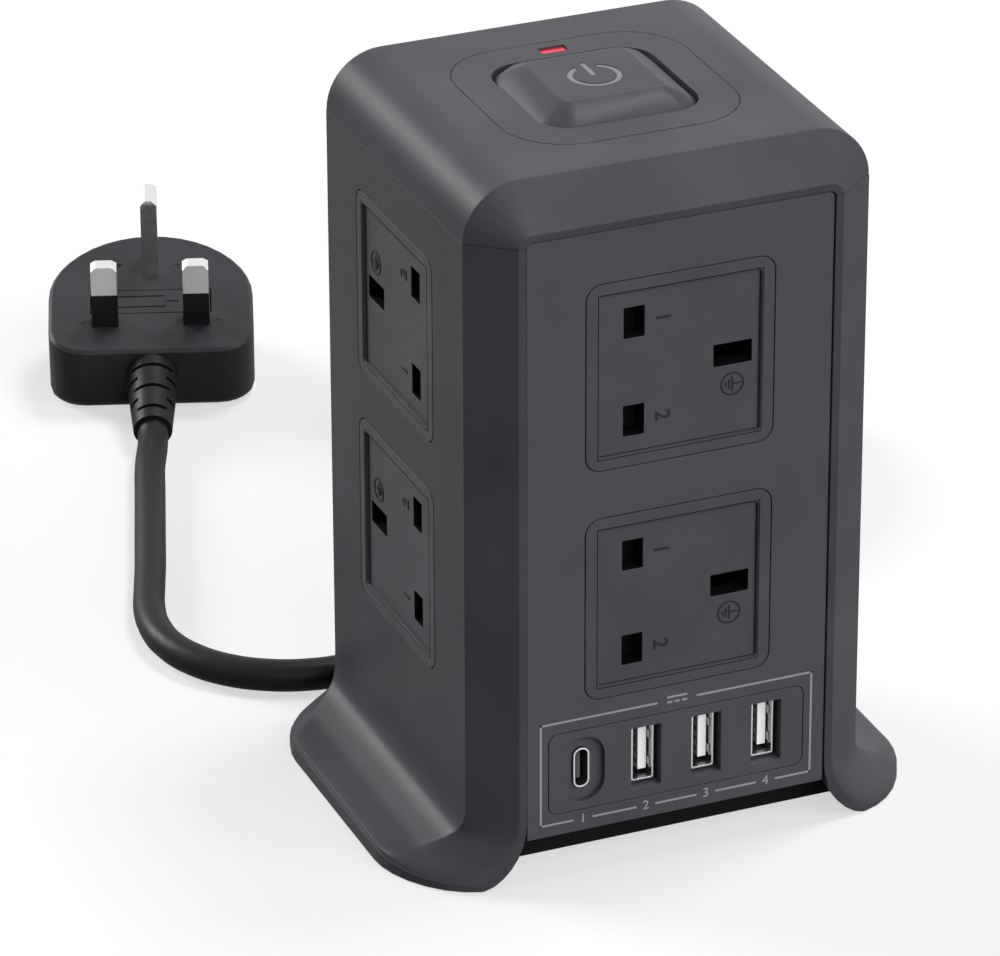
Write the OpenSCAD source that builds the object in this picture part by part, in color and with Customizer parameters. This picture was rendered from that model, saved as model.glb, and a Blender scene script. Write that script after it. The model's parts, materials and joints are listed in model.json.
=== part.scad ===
// Tower power strip: eight shuttered three-pin sockets, a charging port module,
// a push switch in the cap, and a mains lead with its plug.
// Millimetres. The origin is the centre of the footprint on the floor, +Z is up, the front faces -Y.

/* [Body] */
// Width of the tower's straight part
body_w = 90.7; // [88:0.1:98]
// Depth of the tower
body_d = 90.7; // [88:0.1:98]
// Height of the cap's flat top above the floor
body_h = 159.3; // [156:0.1:175]
// Wall thickness of the two side shells
wall = 2.2; // [1.8:0.1:2.6]
// Corner chamfer, measured across the front
chamfer_w = 9.2; // [8:0.1:10.5]
// Corner chamfer, measured along the side
chamfer_d = 7.4; // [6.5:0.1:8.5]

/* [Cap] */
// Height of the cap above its seam with the side shells
cap_h = 12.2; // [11:0.1:14]
// Radius of the cap's long upper edges
cap_edge_r = 12.5; // [10:0.1:12.8]
// Drop of the sloping edge above each panel
cap_slope_h = 9.4; // [8.6:0.1:10]
// Wall thickness of the cap
cap_wall = 2.6; // [2.4:0.1:3]

/* [Panels] */
// Width of the flat rim round each panel
rim_t = 1.7; // [1.4:0.1:2]
// Thickness of the front and rear panels
panel_t = 2.2; // [1.8:0.1:2.6]
// How far a panel lies behind the rim
panel_recess = 0.4; // [0.2:0.1:0.8]
// Gap round a panel
panel_gap = 0.2; // [0.1:0.05:0.3]
// Height of a panel's lower edge above the floor
panel_z = 10.2; // [9.6:0.1:11]

/* [Feet] */
// How far each foot flares out beyond the body
foot_out = 15.2; // [12:0.1:18]
// Height at which the flare begins
foot_h = 18; // [16:0.1:20]
// Height of the upright lip round the toe
lip_h = 3.4; // [3:0.1:4]
// Gap under the lip, which the rubber pads take up
lip_gap = 0.3; // [0.2:0.1:0.8]
// Depth of the recess under each panel
kick_d = 10; // [9:0.1:11]
// Diameter of a rubber pad
pad_d = 11; // [9:0.5:12]

/* [Sockets] */
// Height of the lower sockets' centres above the floor
socket_z = 61.9; // [61:0.1:64]
// Distance between the lower and upper sockets
socket_pitch = 53.2; // [52:0.1:56]
// Side of the square socket surround
surround_w = 42.1; // [41.8:0.1:43]
// Corner radius of the surround
surround_r = 3.4; // [2.5:0.1:4]
// Gap round a surround
surround_gap = 0.2; // [0.1:0.05:0.3]
// Width of the sunk socket face
face_w = 36.3; // [36:0.1:37]
// Height of the sunk socket face
face_h = 36.6; // [36:0.1:37.2]
// How deep the face is sunk
face_sunk = 0.8; // [0.4:0.1:1.2]
// Distance from the line pins to the earth pin, and between the line pins
pin_span = 22.2; // [22:0.1:22.4]
// Travel of a safety shutter
shutter_travel = 6.3; // [6.1:0.1:6.4]

/* [Power button] */
// Side of the square switch surround
bezel_w = 52.4; // [50:0.1:54]
// Corner radius of the switch surround
bezel_r = 14; // [12:0.5:16]
// Side of the well that the button sits in
well_w = 36.4; // [35:0.1:37]
// Corner radius of the well
well_r = 7.6; // [6:0.1:9]
// Side of the button's flat top
key_top_w = 23; // [20:0.5:26]
// How far the button stands above the cap
key_rise = 2.7; // [2:0.1:3.5]
// Travel of the button
key_travel = 3; // [2:0.1:3.2]

/* [Charging ports] */
// Width of the port module
ports_w = 58.6; // [58:0.1:60]
// Height of the port module
ports_h = 19; // [18.6:0.1:20]
// Height of the port row's centre above the floor
ports_z = 24.8; // [24.4:0.1:25.6]
// Distance between the wide ports, as a share of the module's width
port_pitch_share = 0.2372; // [0.23:0.001:0.242]
// Width of a wide port's window
window_w = 6.8; // [6.4:0.1:7.2]
// Height of a wide port's window
window_h = 14.4; // [14:0.1:15]

/* [Lead] */
// Diameter of the mains lead
lead_d = 7.4; // [7:0.1:7.6]
// Height of the lead's exit above the floor
exit_z = 20; // [19.8:0.1:20.6]
// Length of the strain relief at the tower
grip_l = 24; // [22:0.5:24]

/* [Plug] */
// Width of the plug
plug_w = 50; // [49:0.1:52]
// Distance from the line pins' centres down to the plug's flat edge
plug_low = 12; // [11.6:0.1:12.6]
// Distance from the line pins' centres up to the plug's crown
plug_high = 35.7; // [35.5:0.1:37]
// Thickness of the plug at its flat edge
plug_t = 17.5; // [17:0.1:19]
// Slope of the plug's back
plug_tilt = 12; // [10:0.5:13]

/* [Hidden] */

$fn = 48;
// Overrun of every cut, and the thickness of a slice that a hull starts from
over = 1;
slice = 0.02;
// Colours
shell_grey = [0.20, 0.20, 0.21];
panel_grey = [0.23, 0.23, 0.24];
socket_grey = [0.25, 0.25, 0.26];
dark_grey = [0.10, 0.10, 0.11];
rubber_black = [0.06, 0.06, 0.06];
brass = [0.80, 0.62, 0.30];
steel = [0.75, 0.75, 0.77];
board_green = [0.10, 0.35, 0.20];

// Half sizes of the tower
hw = body_w / 2;
hd = body_d / 2;
// Edges of the rim and the panel
rim_x = hw - chamfer_w;
panel_x = rim_x - rim_t;
rim_top = body_h - cap_slope_h;
panel_top = rim_top - rim_t;
seam_z = body_h - cap_h;
chamfer_l = sqrt(chamfer_w * chamfer_w + chamfer_d * chamfer_d);
// Corner radii of the rim and the panel opening
rim_r = 3;
panel_r = 1.5;
// How far a corner's two ends move in when a wall of thickness t is taken off the chamfer
function inner_w(t) = t * (chamfer_l - chamfer_w) / chamfer_d;
function inner_d(t) = t * (chamfer_l - chamfer_d) / chamfer_w;

// Ledge that carries a panel from behind
ledge_t = 1.4;
ledge_w = 1.6;
// Clearance between covers that drop into each other
fit = 0.3;

// Outline helpers

// Corner points of a rounded rectangle, n steps to each corner
function round_rect(w, h, r, n = 6) = [
    for (q = [0:3]) for (i = [0:n])
        let (a = 90 * q + 90 * i / n, sx = (q == 0 || q == 3) ? 1 : -1, sy = q < 2 ? 1 : -1)
            [sx * (w / 2 - r) + r * cos(a), sy * (h / 2 - r) + r * sin(a)]
];
// Upright arch: straight sides from z = low to a top with rounded corners
function arch(half, low, top, r, n = 12) = concat(
    [[half, low]],
    [for (i = [0:n]) [half - r + r * cos(90 * i / n), top - r + r * sin(90 * i / n)]],
    [for (i = [0:n]) [-half + r - r * sin(90 * i / n), top - r + r * cos(90 * i / n)]],
    [[-half, low]]
);
function unit(v) = v / norm(v);
function bezier(p, t) =
    pow(1 - t, 3) * p[0] + 3 * t * pow(1 - t, 2) * p[1] + 3 * t * t * (1 - t) * p[2] + pow(t, 3) * p[3];
// Conic arc from a to b with its corner at c: weight 0 is a straight chamfer, 0.707 a quarter ellipse
function conic(a, c, b, weight, n) = [
    for (i = [0:n]) let (t = i / n, d = pow(1 - t, 2) + 2 * weight * t * (1 - t) + t * t)
        (pow(1 - t, 2) * a + 2 * weight * t * (1 - t) * c + t * t * b) / d
];
// Closed skin over a stack of equal rings of points
module loft(rings) {
    n = len(rings[0]);
    m = len(rings);
    polyhedron(
        points = [for (r = rings) each r],
        faces = concat(
            [[for (i = [n - 1:-1:0]) i]],
            [[for (i = [0:n - 1]) (m - 1) * n + i]],
            [for (j = [0:m - 2]) for (i = [0:n - 1])
                [j * n + i, j * n + (i + 1) % n, (j + 1) * n + (i + 1) % n]],
            [for (j = [0:m - 2]) for (i = [0:n - 1])
                [j * n + i, (j + 1) * n + (i + 1) % n, (j + 1) * n + i]]
        ),
        convexity = 6
    );
}
// Cube between two corners
module block(a, b) {
    translate(a) cube(b - a);
}
// Rounded plate standing on z = low
module plate(w, h, r, low, high, n = 6) {
    translate([0, 0, low]) linear_extrude(high - low) polygon(round_rect(w, h, r, n));
}
// Draws its children on one of the four faces: x to the right, y up, z out from the tower's axis.
// Faces are numbered 0 front, 1 left, 2 rear, 3 right.
module on_face(face) {
    rotate([0, 0, -90 * face]) rotate([90, 0, 0]) children();
}
function face_out(face) = face % 2 == 0 ? hd - panel_recess : hw;

// Side shells

// Flare of a foot, as shares of foot_out and foot_h: a long hollow curve, then the rounded toe
flare_shares = [[0, 1], [0, 0.589], [0.125, 0.567], [0.5, 0.375]];
toe_shares = [[0.5, 0.375], [0.658, 0.294], [0.98, 0.264], [0.98, 0.19]];
flare_steps = 10;
toe_steps = 6;
// Small step where the curve meets the lip
toe_step = 0.05;
// Where the corner of the toe starts on the front and on the side
toe_spread = 5.9;
toe_depth = 22;
// Weight of the conic round the toe's corner
toe_weight = 0.56;
// How much lower the lip's upper edge lies on the front and rear than on the side
lip_drop = 1.8;
// How late the corner's spread, depth, weight and drop come in as the flare opens
late = [3, 2.7, 2.5, 6];
// Quarter ellipse under each foot's inner edge, across and up
arch_w = 12;
arch_h = 15;
corner_steps = 8;

function foot_scale(p) = [hw + foot_out * p[0], foot_h * p[1]];
foot_curve = concat(
    [for (i = [0:flare_steps]) foot_scale(bezier(flare_shares, i / flare_steps))],
    [for (i = [1:toe_steps]) foot_scale(bezier(toe_shares, i / toe_steps))]
);
foot_profile = concat(foot_curve, [[hw + foot_out, lip_h - toe_step], [hw + foot_out, lip_gap]]);
// The same flare without its lip, moved in by t square to its surface. Points that would fold
// back below the end of the curve are left out.
function foot_inset(t) =
    let (
        last = len(foot_curve) - 1,
        moved = [
            for (i = [0:last]) let (d = unit(foot_curve[min(i + 1, last)] - foot_curve[max(i - 1, 0)]))
                i == 0 || i == last ? foot_curve[i] - [t, 0] : foot_curve[i] + t * [d[1], -d[0]]
        ]
    ) [for (i = [0:last]) if (i == last || moved[i][1] > moved[last][1]) moved[i]];
// How far the flare has opened at height z, from 0 to 1
function opened(z) = min(1, max(0, (foot_h - z) / (foot_h - lip_h)));
// Plan outline of the left shell at one point of the profile, moved in by t, closed at x = -inner
function shell_ring(p, z, t, inner) =
    let (
        o = opened(p[1]),
        w = toe_weight * pow(o, late[2]),
        ax = rim_x + toe_spread * pow(o, late[0]) - inner_w(t),
        by = hd - (chamfer_d + (toe_depth - chamfer_d) * pow(o, late[1])) - inner_d(t),
        y = hd - t,
        drop = z > lip_gap ? lip_drop * pow(o, late[3]) : 0,
        rear = conic([-ax, y], [-p[0], y], [-p[0], by], w, corner_steps),
        front = conic([-p[0], -by], [-p[0], -y], [-ax, -y], w, corner_steps)
    ) [for (q = concat([[-inner, y]], rear, front, [[-inner, -y]]))
        [q[0], q[1], z - drop * max(0, abs(q[1]) - by) / (y - by)]];

module shell_skin(t, inner, low, high) {
    profile = t == 0 ? foot_profile : foot_inset(t);
    steps = len(profile);
    rings = concat(
        [shell_ring(profile[0], high, t, inner)],
        [for (p = profile) shell_ring(p, p[1], t, inner)],
        t == 0 ? [] : [shell_ring(profile[steps - 1], low, t, inner)]
    );
    loft(rings);
}
// Room between the feet under a panel
module kick_room(face_y) {
    corner_x = panel_x + arch_w;
    outline = concat(
        [[corner_x, -over]],
        [for (i = [0:corner_steps]) let (a = 90 * i / corner_steps)
            [corner_x - arch_w * sin(a), arch_h * (1 - cos(a))]],
        [for (i = [corner_steps:-1:0]) let (a = 90 * i / corner_steps)
            [-corner_x + arch_w * sin(a), arch_h * (1 - cos(a))]],
        [[-corner_x, -over]]
    );
    translate([0, face_y + kick_d, 0]) rotate([90, 0, 0]) linear_extrude(kick_d + over) polygon(outline);
}
// Screw posts: place, size and reach
post_x = 36;
post_y = 27;
post_d = 8;
post_low = 7;
post_h = 17;
screw_d = 2.9;
screw_gap = 0.05;
rib_t = 2;

module side_shell() {
    back = panel_x + ledge_w + over;
    difference() {
        union() {
            difference() {
                shell_skin(0, panel_x - ledge_w - over, lip_gap, seam_z);
                shell_skin(wall, panel_x - ledge_w - 2 * over, -over, seam_z + over);
            }
            // Ledge that a panel rests on, front and rear
            for (s = [-1, 1]) scale([1, s, 1]) block(
                [-rim_x, -hd + wall / 2, lip_gap],
                [-panel_x + ledge_w, -hd + panel_recess + panel_t + ledge_t, seam_z]
            );
            for (s = [-1, 1]) {
                translate([-post_x, s * post_y, post_low]) cylinder(d = post_d, h = post_h);
                block([-hw + wall / 2, s * post_y - rib_t / 2, foot_h],
                    [-post_x, s * post_y + rib_t / 2, post_low + post_h]);
            }
        }
        for (s = [-1, 1]) {
            // Opening for a panel
            scale([1, s, 1]) block([-panel_x, -hd - over, -over],
                [panel_x, -hd + panel_recess + panel_t, seam_z + over]);
            scale([1, s, 1]) kick_room(-hd);
            translate([-post_x, s * post_y, post_low - over])
                cylinder(d = screw_d + 2 * screw_gap, h = post_h - rib_t + over);
        }
        // Openings for two sockets
        for (level = [0, 1]) on_face(1) translate([0, socket_z + level * socket_pitch, hw])
            plate(surround_w + 2 * surround_gap, surround_w + 2 * surround_gap,
                surround_r + surround_gap, -wall - over, over);
    }
}
module left_shell() {
    color(shell_grey) side_shell();
}
module right_shell() {
    color(shell_grey) mirror([1, 0, 0]) side_shell();
}

// Top cap

bezel_gap = 0.15;
bezel_t = 1.4;
bezel_ledge = 1.8;
arch_steps = 12;
lip_t = 1.4;
cap_lip_l = 60;
cap_lip_h = 2.6;

// Body between the two rims above z = low, moved in by t
module cap_block(t, low) {
    main_y = hd - chamfer_d - inner_d(t);
    end_y = hd - t;
    root = low - cap_edge_r;
    difference() {
        hull() {
            translate([0, main_y, 0]) rotate([90, 0, 0]) linear_extrude(2 * main_y)
                polygon(arch(hw - t, root, body_h - t, cap_edge_r - t, arch_steps));
            for (y = [end_y, slice - end_y]) translate([0, y, 0]) rotate([90, 0, 0]) linear_extrude(slice)
                polygon(arch(rim_x - inner_w(t), root, rim_top - inner_w(t), rim_r, arch_steps / 2));
        }
        block([-body_w, -body_d, root - over], [body_w, body_d, low]);
    }
}
module top_cap() {
    color(shell_grey) difference() {
        union() {
            difference() {
                cap_block(0, seam_z);
                cap_block(cap_wall, seam_z - over);
            }
            // Ledge behind the top of each panel
            for (s = [-1, 1]) scale([1, s, 1]) block(
                [-panel_x, -hd + cap_wall / 2, seam_z],
                [panel_x, -hd + panel_recess + panel_t + ledge_t, rim_top]
            );
            // Lips that locate the cap inside the side shells
            for (s = [-1, 1]) scale([s, 1, 1]) block(
                [hw - wall - fit - lip_t, -cap_lip_l / 2, seam_z - cap_lip_h],
                [hw - wall - fit, cap_lip_l / 2, seam_z + cap_lip_h]
            );
        }
        for (s = [-1, 1]) scale([1, s, 1]) translate([0, -hd + panel_recess + panel_t, 0])
            rotate([90, 0, 0]) linear_extrude(panel_recess + panel_t + over)
                polygon(arch(panel_x, seam_z - over, panel_top, panel_r, corner_steps));
        translate([0, 0, body_h]) {
            plate(bezel_w + 2 * bezel_gap, bezel_w + 2 * bezel_gap, bezel_r + bezel_gap, -bezel_t, over);
            plate(bezel_w - 2 * bezel_ledge, bezel_w - 2 * bezel_ledge, bezel_r - bezel_ledge,
                -cap_wall - over, over);
        }
    }
}

// Panels

// Panel with the shelf that closes the top of the kick recess and sits on the kick wall
module panel_plate() {
    x = panel_x - panel_gap;
    top = panel_top - panel_gap;
    translate([0, -hd + panel_recess + panel_t, 0]) rotate([90, 0, 0])
        linear_extrude(panel_t) polygon(arch(x, panel_z, top, panel_r - panel_gap, corner_steps));
    translate([-x, -hd + panel_recess, panel_z])
        cube([2 * x, kick_d - panel_recess + base_t, panel_t]);
}
// Cuts for the sockets of the face that the panel is on
module panel_sockets() {
    for (level = [0, 1]) on_face(0) translate([0, socket_z + level * socket_pitch, face_out(0)])
        plate(surround_w + 2 * surround_gap, surround_w + 2 * surround_gap,
            surround_r + surround_gap, -panel_t - over, over);
}
ports_gap = 0.15;
ports_r = 2;
module front_panel() {
    color(panel_grey) difference() {
        panel_plate();
        panel_sockets();
        on_face(0) translate([0, ports_z, face_out(0)])
            plate(ports_w + 2 * ports_gap, ports_h + 2 * ports_gap, ports_r + ports_gap,
                -panel_t - over, over);
    }
}
// Strain relief collar and reset button in the rear panel
collar_d = 13;
reset_x = 22;
reset_z = 25;
reset_d = 8;
reset_gap = 0.4;
module rear_panel() {
    color(panel_grey) rotate([0, 0, 180]) difference() {
        panel_plate();
        panel_sockets();
        on_face(0) translate([0, exit_z, face_out(0)])
            translate([0, 0, -panel_t - over]) cylinder(d = collar_d + 2 * reset_gap, h = panel_t + 2 * over);
        on_face(0) translate([reset_x, reset_z, face_out(0) - panel_t - over])
            cylinder(d = reset_d + 2 * reset_gap, h = panel_t + 2 * over);
    }
}

// Base

base_z = 1;
base_t = 2;
pad_sunk = 0.6;
pad_x = 48;
pad_y = 27;
head_d = 5.8;
head_h = 2.4;
head_sunk = 3.4;
boss_d = 9;
// Gap between the base and the side shells
base_gap = 2.8;

// Plan outline inside the lips, moved in by t
function base_outline(t) =
    let (
        ring = shell_ring(foot_profile[len(foot_profile) - 1] - [t, 0], 0, t, 0),
        half = [for (i = [1:len(ring) - 2]) [ring[i][0], ring[i][1]]]
    ) concat(half, [for (i = [len(half) - 1:-1:0]) [-half[i][0], half[i][1]]]);

module base_plate() {
    kick_x = panel_x + arch_w;
    kick_top_x = hw - wall - fit;
    color(dark_grey) difference() {
        union() {
            translate([0, 0, base_z]) linear_extrude(base_t) difference() {
                polygon(base_outline(wall + base_gap));
                for (s = [-1, 1]) translate([0, s * hd]) square([2 * kick_x, 2 * kick_d], center = true);
            }
            // Kick wall under each panel, wider at its foot than the room in front of it
            for (s = [-1, 1]) scale([1, s, 1]) translate([0, -hd + kick_d + base_t, 0]) rotate([90, 0, 0])
                linear_extrude(base_t) polygon([
                    [-kick_x - rim_t, base_z], [kick_x + rim_t, base_z],
                    [kick_top_x, panel_z], [-kick_top_x, panel_z]
                ]);
            for (sx = [-1, 1]) for (sy = [-1, 1])
                translate([sx * post_x, sy * post_y, base_z]) cylinder(d = boss_d, h = post_low - base_z);
        }
        for (sx = [-1, 1]) for (sy = [-1, 1]) {
            translate([sx * post_x, sy * post_y, base_z - over]) {
                cylinder(d = head_d + 2 * fit, h = over + head_sunk);
                cylinder(d = screw_d + 2 * fit, h = post_low + over);
            }
            translate([sx * pad_x, sy * pad_y, base_z - over]) cylinder(d = pad_d, h = over + pad_sunk);
        }
    }
}
module rubber_feet() {
    color(rubber_black) for (sx = [-1, 1]) for (sy = [-1, 1])
        translate([sx * pad_x, sy * pad_y, 0]) cylinder(d = pad_d - fit, h = base_z + pad_sunk);
}
module case_screws() {
    color(steel) for (sx = [-1, 1]) for (sy = [-1, 1])
        translate([sx * post_x, sy * post_y, base_z + head_sunk - head_h]) difference() {
            union() {
                cylinder(d = head_d, h = head_h);
                cylinder(d = screw_d, h = head_h + post_low - base_z - head_sunk + post_h - 2 * rib_t);
            }
            // Cross recess in the head
            for (a = [0, 90]) rotate([0, 0, a]) translate([-head_d / 3, -head_d / 10, -over])
                cube([2 * head_d / 3, head_d / 5, over + head_h / 2]);
        }
}

// Inner frame and brass strips

frame_x = 20;
frame_t = 1.6;
strip_t = 1;
strip_w = 4;
earth_out = 22.85;
post_in = 17.8;
frame_low = base_z + base_t;
ring_h = 5;
// Rings of brass strip: the live one below the sockets' centres, the other two above them
live_ring_drop = 28.9;
earth_ring_rise = 17.9;
ring_pitch = 7;
live_ring_z = socket_z - live_ring_drop;
earth_ring_z = socket_z + socket_pitch + earth_ring_rise;
neutral_ring_z = earth_ring_z + ring_pitch;
frame_top = neutral_ring_z + ring_h;

module inner_frame() {
    color(panel_grey) difference() {
        union() {
            translate([-frame_x, -frame_x, frame_low])
                cube([2 * frame_x, 2 * frame_x, frame_top - frame_low]);
            for (sx = [-1, 1]) for (sy = [-1, 1]) scale([sx, sy, 1])
                translate([post_in, post_in, live_ring_z + ring_h + fit])
                    cube([earth_out - post_in, earth_out - post_in,
                        neutral_ring_z - live_ring_z - ring_h - 2 * fit]);
        }
        translate([-frame_x + frame_t, -frame_x + frame_t, frame_low + frame_t])
            cube([2 * (frame_x - frame_t), 2 * (frame_x - frame_t), frame_top]);
    }
}

// Slots in a socket face, seen with the earth slot on the right
line_x = -0.457 * pin_span;
earth_x = line_x + pin_span;
line_y = pin_span / 2;
line_slot = [4.65, 6.9];
earth_slot = [8.6, 4.95];
// Sockets on the left and right faces are turned half round
function turned(face) = face % 2 == 1;
module at_socket(face, level) {
    on_face(face) translate([0, socket_z + level * socket_pitch, face_out(face)])
        rotate([0, 0, turned(face) ? 180 : 0]) children();
}
leaf_t = 0.8;
pin_t = 4;
line_pin_w = 6.35;
earth_pin_w = 8;
leaf_top = 35;
earth_leaf_top = 32.6;
// Two brass leaves that grip a line pin, and a tongue to the strip on one side
module line_clip(side, strip_edge) {
    for (s = [-1, 1]) block(
        [s > 0 ? pin_t / 2 : -pin_t / 2 - leaf_t, -line_pin_w / 2, frame_x],
        [s > 0 ? pin_t / 2 + leaf_t : -pin_t / 2, line_pin_w / 2, leaf_top]
    );
    low = side < 0 ? strip_edge - line_x : -pin_t / 2 - leaf_t;
    high = side < 0 ? pin_t / 2 + leaf_t : strip_edge - line_x;
    block([low, -line_pin_w / 2, frame_x], [high, line_pin_w / 2, frame_x + strip_t]);
}
live_edge = -13.5;
neutral_edge = -6.8;
// Heights of the line contacts on a face: live is below neutral unless the socket is turned
function live_y(face) = turned(face) ? line_y : -line_y;
module face_strip(face, x0, low, high) {
    flip = turned(face) ? -1 : 1;
    on_face(face) scale([flip, 1, 1])
        block([x0, low, frame_x], [x0 + strip_w, high, frame_x + strip_t]);
}
module ring_strip(inner, low) {
    difference() {
        translate([-inner - strip_t, -inner - strip_t, low])
            cube([2 * (inner + strip_t), 2 * (inner + strip_t), ring_h]);
        translate([-inner, -inner, low - over]) cube([2 * inner, 2 * inner, ring_h + 2 * over]);
    }
}
module live_busbar() {
    color(brass) {
        ring_strip(frame_x, live_ring_z);
        for (face = [0:3]) {
            for (level = [0, 1]) on_face(face)
                translate([0, socket_z + level * socket_pitch + live_y(face), 0])
                    scale([turned(face) ? -1 : 1, 1, 1]) translate([line_x, 0, 0])
                        line_clip(-1, live_edge - strip_w / 2);
            face_strip(face, live_edge - strip_w, live_ring_z,
                socket_z + socket_pitch + live_y(face) + line_pin_w / 2);
        }
    }
}
module neutral_busbar() {
    color(brass) {
        ring_strip(frame_x, neutral_ring_z);
        for (face = [0:3]) {
            for (level = [0, 1]) on_face(face)
                translate([0, socket_z + level * socket_pitch - live_y(face), 0])
                    scale([turned(face) ? -1 : 1, 1, 1]) translate([line_x, 0, 0])
                        line_clip(1, neutral_edge + strip_w / 2);
            face_strip(face, neutral_edge, socket_z - live_y(face) - line_pin_w / 2,
                neutral_ring_z + ring_h);
        }
    }
}
// Earth contact: two leaves over a plate with a hole for the pin's tip
tip_gap = 0.4;
module earth_clip() {
    for (s = [-1, 1]) block(
        [-earth_pin_w / 2, s > 0 ? pin_t / 2 : -pin_t / 2 - leaf_t, earth_out],
        [earth_pin_w / 2, s > 0 ? pin_t / 2 + leaf_t : -pin_t / 2, earth_leaf_top]
    );
    difference() {
        block([-earth_pin_w / 2 - strip_t, -pin_t, earth_out],
            [post_in - earth_x + strip_w / 2, pin_t, earth_out + strip_t]);
        block([-earth_pin_w / 2 - tip_gap, -pin_t / 2, earth_out - over],
            [earth_pin_w / 2 + tip_gap, pin_t / 2, earth_out + strip_t + over]);
    }
}
module earth_busbar() {
    color(brass) {
        ring_strip(earth_out, earth_ring_z);
        for (face = [0:3]) {
            for (level = [0, 1]) on_face(face)
                translate([0, socket_z + level * socket_pitch, 0])
                    rotate([0, 0, turned(face) ? 180 : 0]) translate([earth_x, 0, 0]) earth_clip();
            on_face(face) scale([turned(face) ? -1 : 1, 1, 1])
                block([post_in, socket_z - pin_t, earth_out],
                    [post_in + strip_w - strip_t, earth_ring_z + ring_h, earth_out + strip_t]);
        }
    }
}

// Sockets

face_t = 4.2;
flange_w = 45.6;
flange_t = 1.4;
house_w = 41.8;
house_t = 1;
house_d = 12;
shutter_t = 2;
shutter_gap = 0.3;
rail_w = 2.4;
rail_t = 1.2;
face_back = -face_sunk - face_t;
shutter_top = face_back - shutter_gap;
shutter_low = shutter_top - shutter_t;

module socket(face, level) {
    inside = house_w - 2 * house_t;
    skin = face % 2 == 0 ? panel_t : wall;
    color(socket_grey) at_socket(face, level) {
        difference() {
            union() {
                plate(surround_w, surround_w, surround_r, face_back, 0);
                plate(flange_w, flange_w, surround_r, -skin - flange_t, -skin);
                difference() {
                    plate(house_w, house_w, surround_r, -house_d, face_back + house_t);
                    plate(inside, inside, surround_r - house_t, -house_d - over, face_back);
                }
            }
            plate(face_w, face_h, panel_r / 2, -face_sunk, over);
            for (s = [-1, 1]) translate([line_x, s * line_y, face_back - over])
                linear_extrude(face_t + 2 * over) square(line_slot, center = true);
            translate([earth_x, 0, face_back - over])
                linear_extrude(face_t + 2 * over) square(earth_slot, center = true);
        }
        // Rails that the shutter slides on
        for (s = [-1, 1]) block(
            [-inside / 2, s > 0 ? inside / 2 - rail_w : -inside / 2, shutter_low - shutter_gap - rail_t],
            [inside / 2, s > 0 ? inside / 2 : -inside / 2 + rail_w, shutter_low - shutter_gap]
        );
    }
}

// Shutters

// Blades close the line slots at rest and clear them at the end of the travel
window_margin = 0.4;
slot_clear = 0.15;
bar_clear = 0.6;
blade_left = line_x - line_slot[0] / 2 - window_margin;
blade_right = line_x - line_slot[0] / 2 - slot_clear + shutter_travel;
bar_x = line_x + line_slot[0] / 2 + bar_clear + shutter_travel;
bar_w = 4.4;
bar_h = 37.2;
arm_w = 3.2;
// The ramp closes most of the earth slot at rest and clears the earth pin at the end of the travel
ramp_w = 4.2;
ramp_low = 4.6;
ramp_clear = 1;
ramp_start = earth_x - earth_slot[0] / 2 - window_margin;
ramp_end = earth_x - earth_pin_w / 2 - ramp_clear + shutter_travel;

module shutter(face, level) {
    tip_y = bar_h / 2;
    hole_low = line_y - line_slot[1] / 2 - window_margin;
    hole_high = line_y + line_slot[1] / 2 + window_margin;
    color([0.85, 0.85, 0.82]) at_socket(face, level) {
        difference() {
            union() {
                block([bar_x, -tip_y, shutter_low], [bar_x + bar_w, tip_y, shutter_top]);
                for (s = [-1, 1]) scale([1, s, 1])
                    block([blade_left, hole_low - arm_w, shutter_low], [bar_x + bar_w, tip_y, shutter_top]);
            }
            for (s = [-1, 1]) scale([1, s, 1])
                block([blade_right, hole_low, shutter_low - over], [bar_x, hole_high, shutter_top + over]);
        }
        // Ramp that the earth pin pushes aside
        translate([0, ramp_w / 2, 0]) rotate([90, 0, 0]) linear_extrude(ramp_w) polygon([
            [bar_x + bar_w - over, shutter_top],
            [ramp_start, shutter_top],
            [ramp_end, shutter_low - ramp_low + shutter_t / 2],
            [ramp_end, shutter_low - ramp_low],
            [ramp_start, shutter_low - ramp_low],
            [bar_x + bar_w, shutter_low],
            [bar_x + bar_w - over, shutter_low]
        ]);
    }
}
// Return springs, one behind each socket face
coil_d = 1.9;
coil_wire = 0.35;
module shutter_springs() {
    inside = house_w - 2 * house_t;
    color(steel) for (face = [0:3]) for (level = [0, 1]) at_socket(face, level)
        translate([-inside / 2, 0, (shutter_top + shutter_low) / 2]) rotate([0, 90, 0])
            difference() {
                cylinder(d = coil_d, h = bar_x + inside / 2);
                translate([0, 0, -over])
                    cylinder(d = coil_d - 2 * coil_wire, h = bar_x + inside / 2 + 2 * over);
            }
}

// Power switch

key_gap = 0.5;
well_wall = 1.6;
well_floor = 9.9;
floor_t = 1.6;
key_edge = 1.1;
key_skirt = 6.2;
key_top_r = 1.8;
// Crown of the sloping sides: where it lies, as shares of the slope's run and drop
crown_share = [0.55, 0.36];
key_wall = 1.8;
stem_d = 6.6;
stem_gap = 0.3;
stem_in = 5;
lens_w = 6;
lens_h = 3;
lens_y = 22.2;
lens_sunk = 0.5;
lens_t = 1.4;

symbol_d = 11.6;
symbol_line = 1.25;
symbol_gap = 4.6;
symbol_bar = 7;
symbol_t = 0.5;
symbol_sunk = 0.15;

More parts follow.
